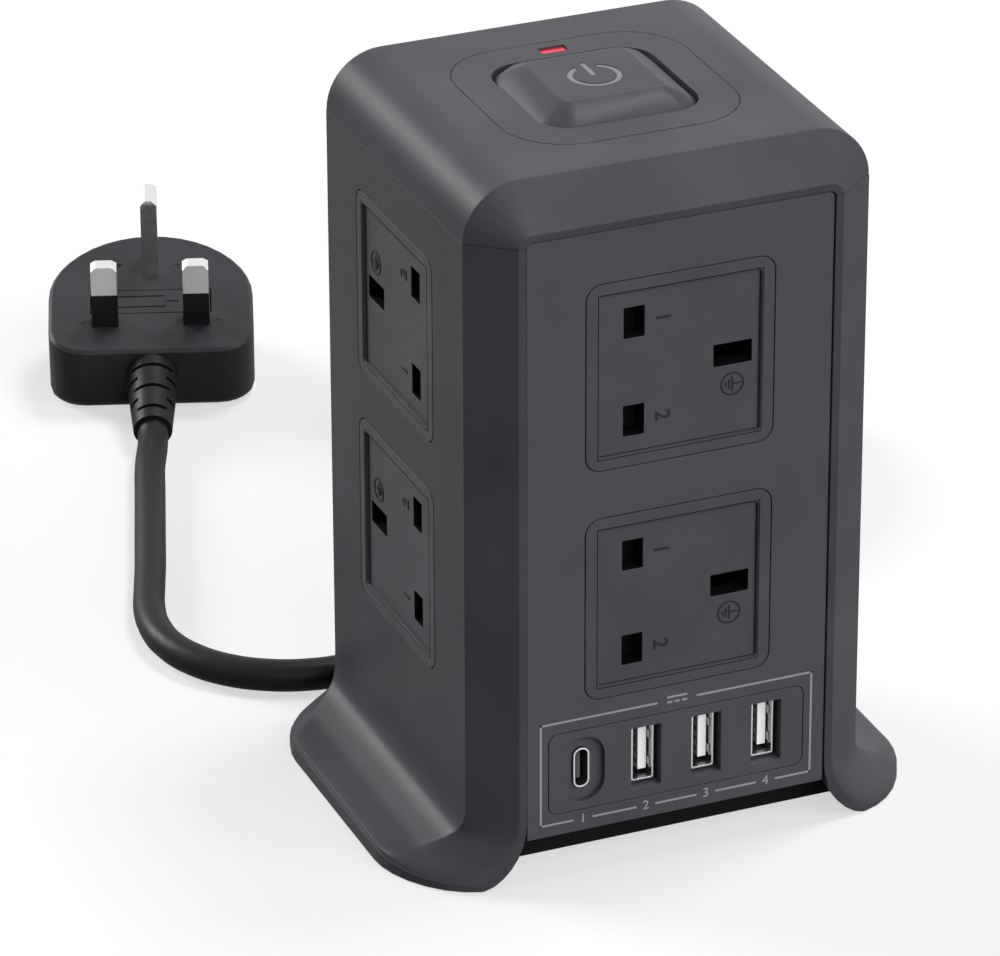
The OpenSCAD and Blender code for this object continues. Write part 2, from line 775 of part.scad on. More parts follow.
module switch_bezel() {
    color(shell_grey) translate([0, 0, body_h]) difference() {
        union() {
            plate(bezel_w, bezel_w, bezel_r, -bezel_t, 0, 10);
            plate(bezel_w - 2 * bezel_ledge - fit, bezel_w - 2 * bezel_ledge - fit,
                bezel_r - bezel_ledge, -cap_wall, -bezel_t / 2, 10);
            plate(well_w + 2 * well_wall, well_w + 2 * well_wall, well_r + well_wall,
                -well_floor - floor_t, -bezel_t, 10);
        }
        plate(well_w, well_w, well_r, -well_floor, over, 10);
        translate([0, 0, -well_floor - floor_t - over])
            cylinder(d = stem_d + 2 * stem_gap, h = floor_t + 2 * over);
        translate([0, lens_y, 0]) plate(lens_w, lens_h, lens_h / 12, -cap_wall - over, over, 2);
    }
}
module power_button() {
    base_w = well_w - 2 * key_gap;
    base_r = well_r - key_gap;
    crown_w = key_top_w + (base_w - key_top_w) * crown_share[0];
    crown_r = key_top_r + (base_r - key_top_r) * crown_share[0];
    crown_z = key_rise - (key_rise + key_edge) * crown_share[1];
    color(shell_grey) translate([0, 0, body_h]) difference() {
        union() {
            hull() {
                plate(key_top_w, key_top_w, key_top_r, key_rise - slice, key_rise, 6);
                plate(crown_w, crown_w, crown_r, crown_z - slice, crown_z, 6);
                plate(base_w, base_w, base_r, -key_edge - slice, -key_edge, 6);
            }
            difference() {
                plate(base_w, base_w, base_r, -key_edge - key_skirt + key_wall, -key_edge - slice, 6);
                plate(base_w - 2 * key_wall, base_w - 2 * key_wall, base_r - key_wall,
                    -key_edge - key_skirt - over, -key_edge - key_wall, 6);
            }
            translate([0, 0, -well_floor - floor_t - stem_in])
                cylinder(d = stem_d, h = well_floor + floor_t + stem_in - key_edge - slice);
        }
        translate([0, 0, key_rise - symbol_sunk - symbol_t]) symbol(symbol_sunk + symbol_t + over);
    }
}
// Ring with a gap at the back and a bar through the gap
module symbol(h) {
    difference() {
        cylinder(d = symbol_d, h = h);
        translate([0, 0, -over]) cylinder(d = symbol_d - 2 * symbol_line, h = h + 2 * over);
        translate([-symbol_gap / 2, 0, -over]) cube([symbol_gap, symbol_d, h + 2 * over]);
    }
    translate([-symbol_line / 2, 0, 0]) cube([symbol_line, symbol_bar, h]);
}
module power_symbol() {
    color([0.65, 0.65, 0.66]) translate([0, 0, body_h + key_rise - symbol_sunk - symbol_t]) symbol(symbol_t);
}
spring_d = 11;
spring_wire = 0.8;
module button_spring() {
    color(steel) translate([0, 0, body_h - well_floor]) difference() {
        cylinder(d = spring_d, h = well_floor - key_edge - key_wall);
        translate([0, 0, -over]) cylinder(d = spring_d - 2 * spring_wire, h = well_floor + over);
    }
}
switch_l = 26;
switch_w = 20;
switch_h = 18;
tab_w = 4.8;
tab_t = 0.8;
tab_l = 7;
module switch_body() {
    top = body_h - well_floor - floor_t;
    color(dark_grey) difference() {
        block([-switch_l / 2, -switch_w / 2, top - switch_h], [switch_l / 2, switch_w / 2, top]);
        translate([0, 0, top - stem_in - key_travel - fit]) cylinder(d = stem_d + 2 * stem_gap, h = switch_h);
    }
    color(brass) for (sx = [-1, 1]) for (sy = [-1, 1])
        translate([sx * switch_l / 4 - tab_w / 2, sy * switch_w / 4 - tab_t / 2, top - switch_h - tab_l])
            cube([tab_w, tab_t, tab_l]);
}
module indicator_lens() {
    color([0.9, 0.1, 0.15]) translate([0, lens_y, body_h])
        plate(lens_w - 2 * bezel_gap, lens_h - 2 * bezel_gap, lens_h / 12, -cap_wall, -lens_sunk, 2);
}
led_board_w = 14;
led_board_h = 4.6;
module indicator_board() {
    color(board_green) translate([0, lens_y + lens_h / 4, body_h - cap_wall])
        translate([-led_board_w / 2, -lens_h, -lens_t]) cube([led_board_w, led_board_h, lens_t]);
}

// Overload reset

reset_l = 12;
breaker_w = 17;
breaker_h = 16;
breaker_d = 15;
module reset_button() {
    // Pressed home, its end is level with the rim
    color([0.75, 0.08, 0.08]) on_face(2)
        translate([reset_x, reset_z, hd - reset_l]) cylinder(d = reset_d, h = reset_l);
}
module breaker_body() {
    top = face_out(2) - panel_t;
    color(dark_grey) on_face(2) difference() {
        block([reset_x - breaker_w / 2, reset_z - breaker_h / 2, top - breaker_d],
            [reset_x + breaker_w / 2, reset_z + breaker_h / 2, top]);
        translate([reset_x, reset_z, top - reset_l])
            cylinder(d = reset_d + 2 * reset_gap, h = reset_l + over);
    }
}

// Charging ports

shell_sunk = 2.1;
shell_l = 13.8;
shell_wall = 0.35;
port_shell_w = 5.1;
port_shell_h = 13.1;
tongue_w = 1.9;
tongue_h = 10.6;
tongue_x = 0.9;
tongue_sunk = 4.4;
// Places of the small port and the first wide port, as shares of the module's width
small_port_share = -0.3669;
first_port_share = -0.1195;
c_x = small_port_share * ports_w;
c_recess_w = 9.9;
c_recess_h = 15.2;
c_recess_d = 1.6;
c_ring_sunk = 0.9;
c_w = 3.6;
c_h = 9.3;
c_tongue_w = 0.8;
c_tongue_h = 6.6;
c_tongue_sunk = 1.8;
side_wall_t = 1.4;
board_t = 1.6;
function port_x(i) = (first_port_share + i * port_pitch_share) * ports_w;
board_z0 = face_out(0) - shell_sunk - shell_l;

module port_frame() {
    color(panel_grey) on_face(0) translate([0, ports_z, 0]) difference() {
        union() {
            translate([0, 0, face_out(0)]) plate(ports_w, ports_h, ports_r, -panel_t - fit, 0);
            translate([0, 0, face_out(0)]) plate(ports_w + 2 * ledge_w, ports_h + ledge_w, ports_r,
                -panel_t - flange_t, -panel_t);
            for (s = [-1, 1]) block(
                [s > 0 ? ports_w / 2 - side_wall_t : -ports_w / 2, -ports_h / 2, board_z0],
                [s > 0 ? ports_w / 2 : -ports_w / 2 + side_wall_t, ports_h / 2, face_out(0) - panel_t]
            );
        }
        for (i = [0:2]) translate([port_x(i), 0, face_out(0)])
            plate(window_w, window_h, ports_gap, -panel_t - flange_t - over, over, 2);
        translate([c_x, 0, face_out(0)]) {
            plate(c_recess_w, c_recess_h, c_recess_w / 2 - ports_gap, -c_recess_d, over, 8);
            plate(c_w + ports_gap, c_h + ports_gap, c_w / 2, -panel_t - flange_t - over, over, 8);
        }
    }
}
module tube_shell(w, h, r, out, l, n) {
    difference() {
        plate(w, h, r, out - l, out, n);
        plate(w - 2 * shell_wall, h - 2 * shell_wall, max(r - shell_wall, shell_wall),
            out - l + shell_wall, out + over, n);
    }
}
module small_port_shell() {
    l = face_out(0) - c_ring_sunk - board_z0;
    color(steel) on_face(0) translate([c_x, ports_z, face_out(0)])
        tube_shell(c_w, c_h, c_w / 2 - ports_gap, -c_ring_sunk, l, 8);
}
module small_port_tongue() {
    color(dark_grey) on_face(0) translate([c_x, ports_z, 0]) block(
        [-c_tongue_w / 2, -c_tongue_h / 2, board_z0 + shell_wall],
        [c_tongue_w / 2, c_tongue_h / 2, face_out(0) - c_ring_sunk - c_tongue_sunk]
    );
}
module wide_port_shells() {
    color(steel) for (i = [0:2]) on_face(0) translate([port_x(i), ports_z, face_out(0)])
        tube_shell(port_shell_w, port_shell_h, shell_wall, -shell_sunk, shell_l, 2);
}
module wide_port_tongues() {
    color([0.92, 0.92, 0.90]) for (i = [0:2]) on_face(0) translate([port_x(i) + tongue_x, ports_z, 0]) block(
        [-tongue_w / 2, -tongue_h / 2, board_z0 + shell_wall],
        [tongue_w / 2, tongue_h / 2, face_out(0) - tongue_sunk]
    );
}
module charging_board() {
    color(board_green) on_face(0) translate([0, ports_z, board_z0 - board_t])
        linear_extrude(board_t) square([ports_w, ports_h + 2 * ledge_w], center = true);
}
// Parts on the back of the charging board
part_h = 4.4;
module board_parts() {
    back = board_z0 - board_t;
    color([0.85, 0.75, 0.2]) on_face(0) translate([-ports_w / 3, ports_z, back - part_h])
        linear_extrude(part_h) square([ports_w / 5, ports_h / 1.5], center = true);
    color(dark_grey) on_face(0) for (i = [0:2])
        translate([i * ports_w / 8, ports_z - ports_h / 5, back - part_h])
            cylinder(d = ports_h / 4, h = part_h);
    color([0.3, 0.3, 0.3]) on_face(0) translate([ports_w / 2.8, ports_z, back - part_h / 3])
        linear_extrude(part_h / 3) square([ports_h / 3, ports_h / 3], center = true);
}

// Mains lead

grip_tip_d = 9.4;
grip_slots = 5;
slot_w = 1.1;
slot_d = 1.3;
collar_t = 3;
inner_lead_l = 12;
// Tapered strain relief along +Z, with part rings cut on alternate sides
module strain_relief(root_d, tip_d, l) {
    pitch = l / (grip_slots + 1);
    cut = slot_d + (root_d - tip_d) / 2 + over;
    difference() {
        cylinder(d1 = root_d, d2 = tip_d, h = l);
        for (i = [1:grip_slots]) translate([0, 0, i * pitch]) rotate([0, 0, 90 * (i % 2)])
            for (s = [-1, 1]) translate([s * (tip_d / 2 - slot_d + cut / 2), 0, 0])
                cube([cut, root_d + over, slot_w], center = true);
    }
}
module cord_grip() {
    color(rubber_black) on_face(2) translate([0, exit_z, face_out(2)]) {
        strain_relief(collar_d - 2 * fit, grip_tip_d, grip_l);
        translate([0, 0, -panel_t]) cylinder(d = collar_d, h = panel_t);
        translate([0, 0, -panel_t - collar_t])
            cylinder(d = 2 * (exit_z - panel_z - panel_t - fit), h = collar_t);
        translate([0, 0, -panel_t - collar_t - inner_lead_l]) cylinder(d = lead_d, h = inner_lead_l);
    }
}
clamp_w = 22;
clamp_h = 7;
clamp_top = 5;
module cord_clamp() {
    low = face_out(2) - panel_t - collar_t - clamp_h;
    color(dark_grey) on_face(2) difference() {
        block([-clamp_w / 2, panel_z + panel_t, low],
            [clamp_w / 2, exit_z + lead_d / 2 + clamp_top, low + clamp_h]);
        translate([0, exit_z, low - over]) cylinder(d = lead_d + 2 * screw_gap, h = clamp_h + 2 * over);
    }
}

// The coil: loops, pitch and centre
tie_t = 0.6;
turn_gap = 0.45;
coil_z = lead_d / 2 + tie_t;
coil_step = lead_d + turn_gap;
coil_turns = 5.75;
coil_r = 54;
coil_c = [57, 133];
coil_rings = 24;
coil_sides = 6;
tube_sides = 10;
// Points of the lead that are not coiled, chosen by hand
exit_route = [
    [0, 73, 20], [0, 79.5, 19.4], [0, 87, 17.4], [0.2, 95, 14], [0.8, 103, 10.1], [1.9, 110.8, 6.8],
    [3, 118.2, 4.7]
];
run_route = [
    [42, 79, 12.05], [32, 78, 10.6], [22, 75.7, 8.3], [12, 72.3, 6], [2, 68.3, 4.4], [-9, 63.4, 3.7],
    [-18, 59, 3.7], [-27, 55, 3.7], [-37, 52.8, 3.7], [-46, 53.8, 3.7], [-54.4, 57.2, 3.7],
    [-61.6, 62.8, 3.7], [-66.8, 70.2, 3.7], [-69.6, 78.8, 3.7], [-69.8, 88, 3.7], [-68, 97, 3.7],
    [-64.8, 106, 3.7],
    [-61, 116, 3.7], [-56.5, 128.6, 3.7], [-52, 141.2, 3.7], [-47.5, 153.8, 3.7], [-43.5, 165, 4]
];

// Point n turns along the coil, from its outer turn below to its outer turn above
function coil_point(n) =
    let (
        half = coil_turns / 2,
        r = coil_r - coil_step * (n < half ? n : coil_turns - n),
        a = 180 - 360 * n,
        lift = min(1, max(0, 2 * (n - half) + 0.5)),
        rise = coil_step * lift * lift * (3 - 2 * lift)
    ) [coil_c[0] + r * cos(a), coil_c[1] + r * sin(a), coil_z + rise];
coil_count = coil_turns * coil_rings;
coil_path = concat(
    [[coil_c[0] - coil_r, coil_c[1] - lead_d, coil_z]],
    [for (i = [0:coil_count]) coil_point(i / coil_rings)],
    [[coil_c[0] - lead_d, coil_c[1] - coil_r, coil_z + coil_step]]
);
// Least gap between turns, measured on points at least half a turn apart
coil_gap = min([
    for (i = [0:len(coil_path) - 1]) for (j = [i + coil_rings / 2:1:len(coil_path) - 1])
        norm(coil_path[i] - coil_path[j])
]) - lead_d;
function path_length(p) = [for (i = [1:len(p) - 1]) norm(p[i] - p[i - 1])] * [for (i = [1:len(p) - 1]) 1];
function along(path, i) =
    i == 0 ? unit(path[1] - path[0])
    : i == len(path) - 1 ? unit(path[i] - path[i - 1])
    : unit(unit(path[i] - path[i - 1]) + unit(path[i + 1] - path[i]));
function ring(path, i, r, sides) =
    let (d = along(path, i), side = unit(cross(d, [0, 0, 1])), up = cross(side, d))
        [for (k = [0:sides - 1]) let (a = 360 * (k + 0.5) / sides)
            path[i] + r * (cos(a) * side + sin(a) * up)];
module tube(path, d, sides) {
    loft([for (i = [0:len(path) - 1]) ring(path, i, d / 2, sides)]);
}
module lead_exit() {
    color(rubber_black) tube(concat(
        [[0, face_out(2) + grip_l, exit_z]], exit_route, [coil_path[0]]
    ), lead_d, tube_sides);
}
module lead_coil() {
    color(rubber_black) tube(coil_path, lead_d, coil_sides);
}
module lead_run() {
    color(rubber_black) tube(concat(
        [coil_path[len(coil_path) - 1]], run_route,
        [for (l = [straight_l, 0]) plug_point([0, -plug_low - plug_grip_l - l, -plug_axis])]
    ), lead_d, tube_sides);
}
// Tie round all turns on the coil's far side
tie_w = 10;
tie_turns = [2.5, 0.25];
module coil_tie() {
    low_x = coil_c[0] + coil_r - coil_step * tie_turns[0] - lead_d / 2 - fit - tie_t;
    high_x = coil_c[0] + coil_r - coil_step * tie_turns[1] + lead_d / 2 + fit + tie_t;
    w = high_x - low_x;
    h = coil_step + lead_d + 2 * tie_t;
    color(dark_grey) translate([low_x + w / 2, coil_c[1] + tie_w / 2, h / 2]) rotate([90, 0, 0])
        linear_extrude(tie_w) difference() {
            polygon(round_rect(w, h, lead_d / 2, 8));
            polygon(round_rect(w - 2 * tie_t, h - 2 * tie_t, lead_d / 2 - tie_t, 8));
        }
}

// Plug, lying on its sloped back with the pins up. In its own frame x is to the right, y to the
// earth pin and z out along the pins, and the origin is midway between the line pins on the face.

plug_grip_l = 22;
plug_grip_d = 13;
plug_axis = 7.4;
// Straight stretch of the lead before the grip
straight_l = 4;
plug_turn = 19.6;
plug_edge = 0.8;
plug_corner_r = 9;
plug_back_r = 3;
plug_steps = 10;
back_steps = 3;
// Floor point under the middle of the flat edge
plug_at = [-29, 203.4];
line_pin_l = 17.7;
earth_pin_l = 22.7;
pin_in = 5;
pin_tip = 1.2;
sleeve_l = 9.5;
sleeve_t = 0.5;
scallop_r = 22;
scallop_d = 1.6;
scallop_y = 6;
scallop_low = 3;
carrier_w = 29;
carrier_h = 9;
carrier_d = 8.4;
carrier_y = 8;
carrier_gap = 0.3;
carrier_top = 1.2;
fuse_d = 6.35;
fuse_l = 25.4;

// The face's outline, moved in by t: a half round over straight sides and a flat lower edge
function plug_outline(t) =
    let (r = plug_w / 2 - t, top = plug_high - plug_w / 2, low = -plug_low + t, c = plug_corner_r - t)
        concat(
            [for (i = [0:2 * plug_steps]) let (a = 90 * i / plug_steps) [r * cos(a), top + r * sin(a)]],
            [for (i = [0:plug_steps / 2]) let (a = 180 + 180 * i / plug_steps)
                [-r + c + c * cos(a), low + c + c * sin(a)]],
            [for (i = [0:plug_steps / 2]) let (a = 270 + 180 * i / plug_steps)
                [r - c + c * cos(a), low + c + c * sin(a)]]
        );
// Depth of the sloped back under a point of the face
function back_depth(y) = plug_t + (y + plug_low) * tan(plug_tilt);
function plug_ring(t, share, lift) = [
    for (q = plug_outline(t)) [q[0], q[1], lift - share * back_depth(q[1])]
];
// Places its children where the plug lies
module at_plug() {
    translate([plug_at[0], plug_at[1], 0]) rotate([0, 0, -plug_turn]) rotate([plug_tilt, 0, 0])
        translate([0, plug_low, plug_t]) children();
}
function plug_point(p) =
    let (
        q = p + [0, plug_low, plug_t],
        y = q[1] * cos(plug_tilt) - q[2] * sin(plug_tilt),
        z = q[1] * sin(plug_tilt) + q[2] * cos(plug_tilt)
    ) [
        plug_at[0] + q[0] * cos(plug_turn) + y * sin(plug_turn),
        plug_at[1] - q[0] * sin(plug_turn) + y * cos(plug_turn),
        z
    ];
module plug_grip() {
    color(rubber_black) at_plug() translate([0, -plug_low, -plug_axis]) rotate([90, 0, 0])
        strain_relief(plug_grip_d, grip_tip_d, plug_grip_l);
}
// Straight pin with a bevelled tip, from z = low
module pin(w, t, low, l) {
    block([-w / 2, -t / 2, low], [w / 2, t / 2, l - pin_tip]);
    hull() {
        translate([0, 0, l - pin_tip - slice]) linear_extrude(slice) square([w, t], center = true);
        translate([0, 0, l - slice]) linear_extrude(slice)
            square([w - 2 * pin_tip, t - pin_tip], center = true);
    }
}
module carrier_room(gap, d) {
    translate([0, carrier_y, -d]) linear_extrude(d + over)
        square([carrier_w + 2 * gap, carrier_h + 2 * gap], center = true);
}
module plug_body() {
    rings = concat(
        [for (i = [0:back_steps]) let (a = 90 * i / back_steps)
            plug_ring(plug_back_r * (1 - sin(a)), 1, plug_back_r * (1 - cos(a)))],
        [plug_ring(0, 0, -plug_edge), plug_ring(plug_edge, 0, 0)]
    );
    color([0.16, 0.16, 0.17]) at_plug() difference() {
        // Rings run the other way round here, so each is turned back
        loft([for (r = rings) [for (i = [len(r) - 1:-1:0]) r[i]]]);
        for (s = [-1, 1]) {
            block([s * line_y - line_pin_w / 2, -pin_t / 2, -pin_in],
                [s * line_y + line_pin_w / 2, pin_t / 2, over]);
            // Finger grips
            translate([s * (plug_w / 2 + scallop_r - scallop_d), scallop_y, -plug_t])
                cylinder(r = scallop_r, h = plug_t - scallop_low);
        }
        block([-pin_t / 2, pin_span - earth_pin_w / 2, -pin_in],
            [pin_t / 2, pin_span + earth_pin_w / 2, over]);
        carrier_room(carrier_gap, carrier_d + carrier_gap);
    }
}
module earth_pin() {
    color(steel) at_plug() translate([0, pin_span, 0]) pin(pin_t, earth_pin_w, -pin_in, earth_pin_l);
}
module line_pins() {
    color(steel) at_plug() for (s = [-1, 1]) translate([s * line_y, 0, 0]) {
        block([-line_pin_w / 2 + sleeve_t, -pin_t / 2 + sleeve_t, -pin_in],
            [line_pin_w / 2 - sleeve_t, pin_t / 2 - sleeve_t, sleeve_l + over]);
        pin(line_pin_w, pin_t, sleeve_l, line_pin_l);
    }
}
module pin_sleeves() {
    color(rubber_black) at_plug() for (s = [-1, 1]) translate([s * line_y, 0, 0]) difference() {
        block([-line_pin_w / 2, -pin_t / 2, -pin_in], [line_pin_w / 2, pin_t / 2, sleeve_l]);
        block([-line_pin_w / 2 + sleeve_t, -pin_t / 2 + sleeve_t, -pin_in - over],
            [line_pin_w / 2 - sleeve_t, pin_t / 2 - sleeve_t, sleeve_l + over]);
    }
}
module fuse_carrier() {
    color([0.14, 0.14, 0.15]) at_plug() difference() {
        block([-carrier_w / 2, carrier_y - carrier_h / 2, -carrier_d],
            [carrier_w / 2, carrier_y + carrier_h / 2, 0]);
        // Cradle, open towards the plug's back
        block([-fuse_l / 2 - screw_gap, carrier_y - fuse_d / 2 - screw_gap, -carrier_d - over],
            [fuse_l / 2 + screw_gap, carrier_y + fuse_d / 2 + screw_gap, -carrier_top]);
    }
}
module fuse() {
    color([0.85, 0.83, 0.78]) at_plug() translate([-fuse_l / 2, carrier_y, -carrier_top - fuse_d / 2])
        rotate([0, 90, 0]) cylinder(d = fuse_d, h = fuse_l);
}

echo(coil_gap = coil_gap);
echo(coil_length = path_length(coil_path), exit_length = path_length(exit_route));
echo(run_length = path_length(run_route));

left_shell();
right_shell();
top_cap();
front_panel();
rear_panel();
base_plate();
rubber_feet();
case_screws();
inner_frame();
socket(0, 1);  // socket_front_upper
socket(0, 0);  // socket_front_lower
socket(1, 1);  // socket_left_upper
socket(1, 0);  // socket_left_lower
socket(2, 1);  // socket_rear_upper
socket(2, 0);  // socket_rear_lower
socket(3, 1);  // socket_right_upper
socket(3, 0);  // socket_right_lower
shutter(0, 1);  // shutter_front_upper
shutter(0, 0);  // shutter_front_lower
shutter(1, 1);  // shutter_left_upper
shutter(1, 0);  // shutter_left_lower
shutter(2, 1);  // shutter_rear_upper
shutter(2, 0);  // shutter_rear_lower
shutter(3, 1);  // shutter_right_upper
shutter(3, 0);  // shutter_right_lower
shutter_springs();
live_busbar();
neutral_busbar();
earth_busbar();
switch_bezel();
power_button();
power_symbol();
button_spring();
switch_body();
indicator_lens();
indicator_board();
reset_button();
breaker_body();
port_frame();
small_port_shell();
small_port_tongue();
wide_port_shells();
wide_port_tongues();
charging_board();
board_parts();
cord_grip();
cord_clamp();
lead_exit();
lead_coil();
coil_tie();
lead_run();
plug_grip();
plug_body();
earth_pin();
line_pins();
pin_sleeves();
fuse_carrier();
fuse();
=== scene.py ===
"""Tower power strip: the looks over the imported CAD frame.

Lengths written in mm are turned into metres by MM. The origin is the centre of the footprint on the
floor, +Z is up and the front with the charging ports faces -Y.
"""
import json
import math

import bpy
from mathutils import Matrix, Vector

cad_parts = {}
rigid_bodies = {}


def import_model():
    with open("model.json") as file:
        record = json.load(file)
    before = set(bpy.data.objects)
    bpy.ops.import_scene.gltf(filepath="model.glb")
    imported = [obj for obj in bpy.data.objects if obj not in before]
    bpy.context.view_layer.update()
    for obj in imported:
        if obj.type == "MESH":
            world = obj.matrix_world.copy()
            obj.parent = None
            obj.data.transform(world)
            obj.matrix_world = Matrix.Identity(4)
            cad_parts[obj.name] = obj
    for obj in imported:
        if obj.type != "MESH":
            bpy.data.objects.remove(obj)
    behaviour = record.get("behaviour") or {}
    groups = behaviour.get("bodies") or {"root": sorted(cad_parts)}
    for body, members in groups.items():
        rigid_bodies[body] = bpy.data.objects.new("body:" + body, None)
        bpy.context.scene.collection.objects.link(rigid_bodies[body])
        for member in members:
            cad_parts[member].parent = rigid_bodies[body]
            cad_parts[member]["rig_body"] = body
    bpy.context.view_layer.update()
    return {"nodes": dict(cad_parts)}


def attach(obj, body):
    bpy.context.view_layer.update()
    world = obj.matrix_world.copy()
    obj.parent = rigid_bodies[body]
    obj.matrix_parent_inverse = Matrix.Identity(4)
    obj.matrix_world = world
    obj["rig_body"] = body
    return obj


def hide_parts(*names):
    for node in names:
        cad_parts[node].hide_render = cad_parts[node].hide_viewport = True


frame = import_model()

MM = 0.001
FACES = ("front", "left", "rear", "right")
HALF = 45.35          # half width of the tower
PANEL_OUT = 44.95     # front and rear panels lie a little behind the rim
FACE_OUT = (PANEL_OUT, HALF, PANEL_OUT, HALF)
FACE_SUNK = 0.8       # the socket faces lie this far behind the tower's
FOOT_TOP = 20.0       # the feet's flare lies below this

# Sockets: how high their centres are, and their slots' places from there and sizes
SOCKET_UP = {"lower": 61.9, "upper": 115.1}
LINE_X, EARTH_X, LINE_Y = -10.145, 12.055, 11.1
LINE_SLOT, EARTH_SLOT = (4.65, 6.9), (8.6, 4.95)
SLOTS = ((LINE_X, LINE_Y, *LINE_SLOT), (LINE_X, -LINE_Y, *LINE_SLOT), (EARTH_X, 0, *EARTH_SLOT))

# Charging ports: how high their centres are, and their places across the front
PORTS_UP = 24.8
WIDE_PORTS = (-7.003, 6.897, 20.797)
SMALL_PORT = -21.5


# ---------------------------------------------------------------- camera

# The view fitted to the photo: the camera's place and lens in mm, and its angles in degrees
CAMERA_AT = (-481.21, -1111.26, 670.93)
AZIMUTH, ELEVATION, ROLL = -22.47, 26.45, -0.2
FOCAL_LENGTH, SENSOR_WIDTH = 227.27, 36


def place_camera():
    azimuth, elevation, roll = (math.radians(angle) for angle in (AZIMUTH, ELEVATION, ROLL))
    right = Vector((math.cos(azimuth), math.sin(azimuth), 0))
    ahead = Vector((-math.sin(azimuth) * math.cos(elevation), math.cos(azimuth) * math.cos(elevation),
                    -math.sin(elevation)))
    up = right.cross(ahead)
    turned_right = right * math.cos(roll) + up * math.sin(roll)
    turned_up = up * math.cos(roll) - right * math.sin(roll)
    bpy.ops.object.camera_add()
    camera = bpy.context.object
    camera.name = "photo_camera"
    camera.data.sensor_width = SENSOR_WIDTH
    camera.data.lens = FOCAL_LENGTH
    camera.data.clip_start, camera.data.clip_end = 0.05, 50
    facing = Matrix((turned_right, turned_up, -ahead)).transposed().to_4x4()
    camera.matrix_world = Matrix.Translation(Vector(CAMERA_AT) * MM) @ facing
    bpy.context.scene.camera = camera


place_camera()


# ---------------------------------------------------------------- materials

CLOUD_SCALE, CLOUD_DETAIL, GRAIN_DETAIL = 45, 3, 2
NOISE_LOW, NOISE_HIGH = 0.3, 0.7     # most of a noise texture's values lie between these
GREEN_SHARE, BLUE_SHARE = 0.975, 1.11     # the plastics are a touch violet


def noise(tree, coords, scale, detail, stretch=None):
    node = tree.nodes.new("ShaderNodeTexNoise")
    node.inputs["Scale"].default_value = scale
    node.inputs["Detail"].default_value = detail
    if stretch:
        mapping = tree.nodes.new("ShaderNodeMapping")
        mapping.inputs["Scale"].default_value = stretch
        tree.links.new(coords.outputs["Object"], mapping.inputs["Vector"])
        tree.links.new(mapping.outputs["Vector"], node.inputs["Vector"])
    else:
        tree.links.new(coords.outputs["Object"], node.inputs["Vector"])
    return node


def finish_of(name, tone, rough, grain=0.35, relief=0.012, edge=0.3, metal=0.0, spread=0.1,
              rough_spread=0.05, stretch=None, glow=0.0, coat=0.0, shine=0.15):
    """A moulded or metal finish.

    Grain is its texture's size, relief the height of that and edge the rounding of corners, all in mm.
    """
    material = bpy.data.materials.new(name)
    material.use_nodes = True
    tree = material.node_tree
    shader = tree.nodes["Principled BSDF"]
    shader.inputs["Metallic"].default_value = metal
    shader.inputs["Coat Weight"].default_value = coat
    shader.inputs["Specular IOR Level"].default_value = shine
    coords = tree.nodes.new("ShaderNodeTexCoord")
    cloud = noise(tree, coords, CLOUD_SCALE, CLOUD_DETAIL)
    fine = noise(tree, coords, 1 / (grain * MM), GRAIN_DETAIL, stretch)

    tones = tree.nodes.new("ShaderNodeValToRGB")
    darker, lighter = tones.color_ramp.elements
    darker.position, lighter.position = NOISE_LOW, NOISE_HIGH
    darker.color = [c * (1 - spread) for c in tone] + [1]
    lighter.color = [min(1, c * (1 + spread)) for c in tone] + [1]
    tree.links.new(cloud.outputs["Fac"], tones.inputs["Fac"])
    tree.links.new(tones.outputs["Color"], shader.inputs["Base Color"])

    gloss = tree.nodes.new("ShaderNodeMapRange")
    gloss.inputs["From Min"].default_value = NOISE_LOW
    gloss.inputs["From Max"].default_value = NOISE_HIGH
    gloss.inputs["To Min"].default_value = rough - rough_spread
    gloss.inputs["To Max"].default_value = rough + rough_spread
    tree.links.new(fine.outputs["Fac"], gloss.inputs["Value"])
    tree.links.new(gloss.outputs["Result"], shader.inputs["Roughness"])

    bump = tree.nodes.new("ShaderNodeBump")
    bump.inputs["Strength"].default_value = 1
    bump.inputs["Distance"].default_value = relief * MM
    tree.links.new(fine.outputs["Fac"], bump.inputs["Height"])
    if edge:
        rounding = tree.nodes.new("ShaderNodeBevel")
        rounding.samples = 4
        rounding.inputs["Radius"].default_value = edge * MM
        tree.links.new(rounding.outputs["Normal"], bump.inputs["Normal"])
    tree.links.new(bump.outputs["Normal"], shader.inputs["Normal"])
    if glow:
        shader.inputs["Emission Color"].default_value = list(tone) + [1]
        shader.inputs["Emission Strength"].default_value = glow
    return material


def grey(red, blue_share=BLUE_SHARE):
    return (red, red * GREEN_SHARE, red * blue_share)


CASE = finish_of("case plastic", grey(0.067, 1.13), 0.36, grain=0.5, relief=0.004, edge=0.2, shine=0.08)
PANEL = finish_of("panel plastic", grey(0.086), 0.44, grain=0.35, relief=0.006, edge=0.2)
SOCKET = finish_of("socket plastic", grey(0.082), 0.43, grain=0.35, relief=0.006, edge=0.2)
KEY = finish_of("button plastic", grey(0.063), 0.34, grain=0.5, relief=0.003, edge=0.35, shine=0.1)
BASE = finish_of("base plastic", grey(0.008), 0.6, grain=0.5, relief=0.02, shine=0.08)
INNER = finish_of("inner plastic", grey(0.03), 0.5, grain=0.8, relief=0.02)
SHUTTER = finish_of("shutter plastic", grey(0.005), 0.6, grain=0.5, relief=0.01, shine=0.05)
# Near black: painted shade for the walls inside the socket slots and for the strips round the socket faces
PAINTED_SHADE = finish_of("painted shade", grey(0.006), 0.6, grain=0.5, relief=0.01, edge=0, shine=0.05)
RUBBER = finish_of("soft rubber", grey(0.014), 0.8, grain=0.25, relief=0.03)
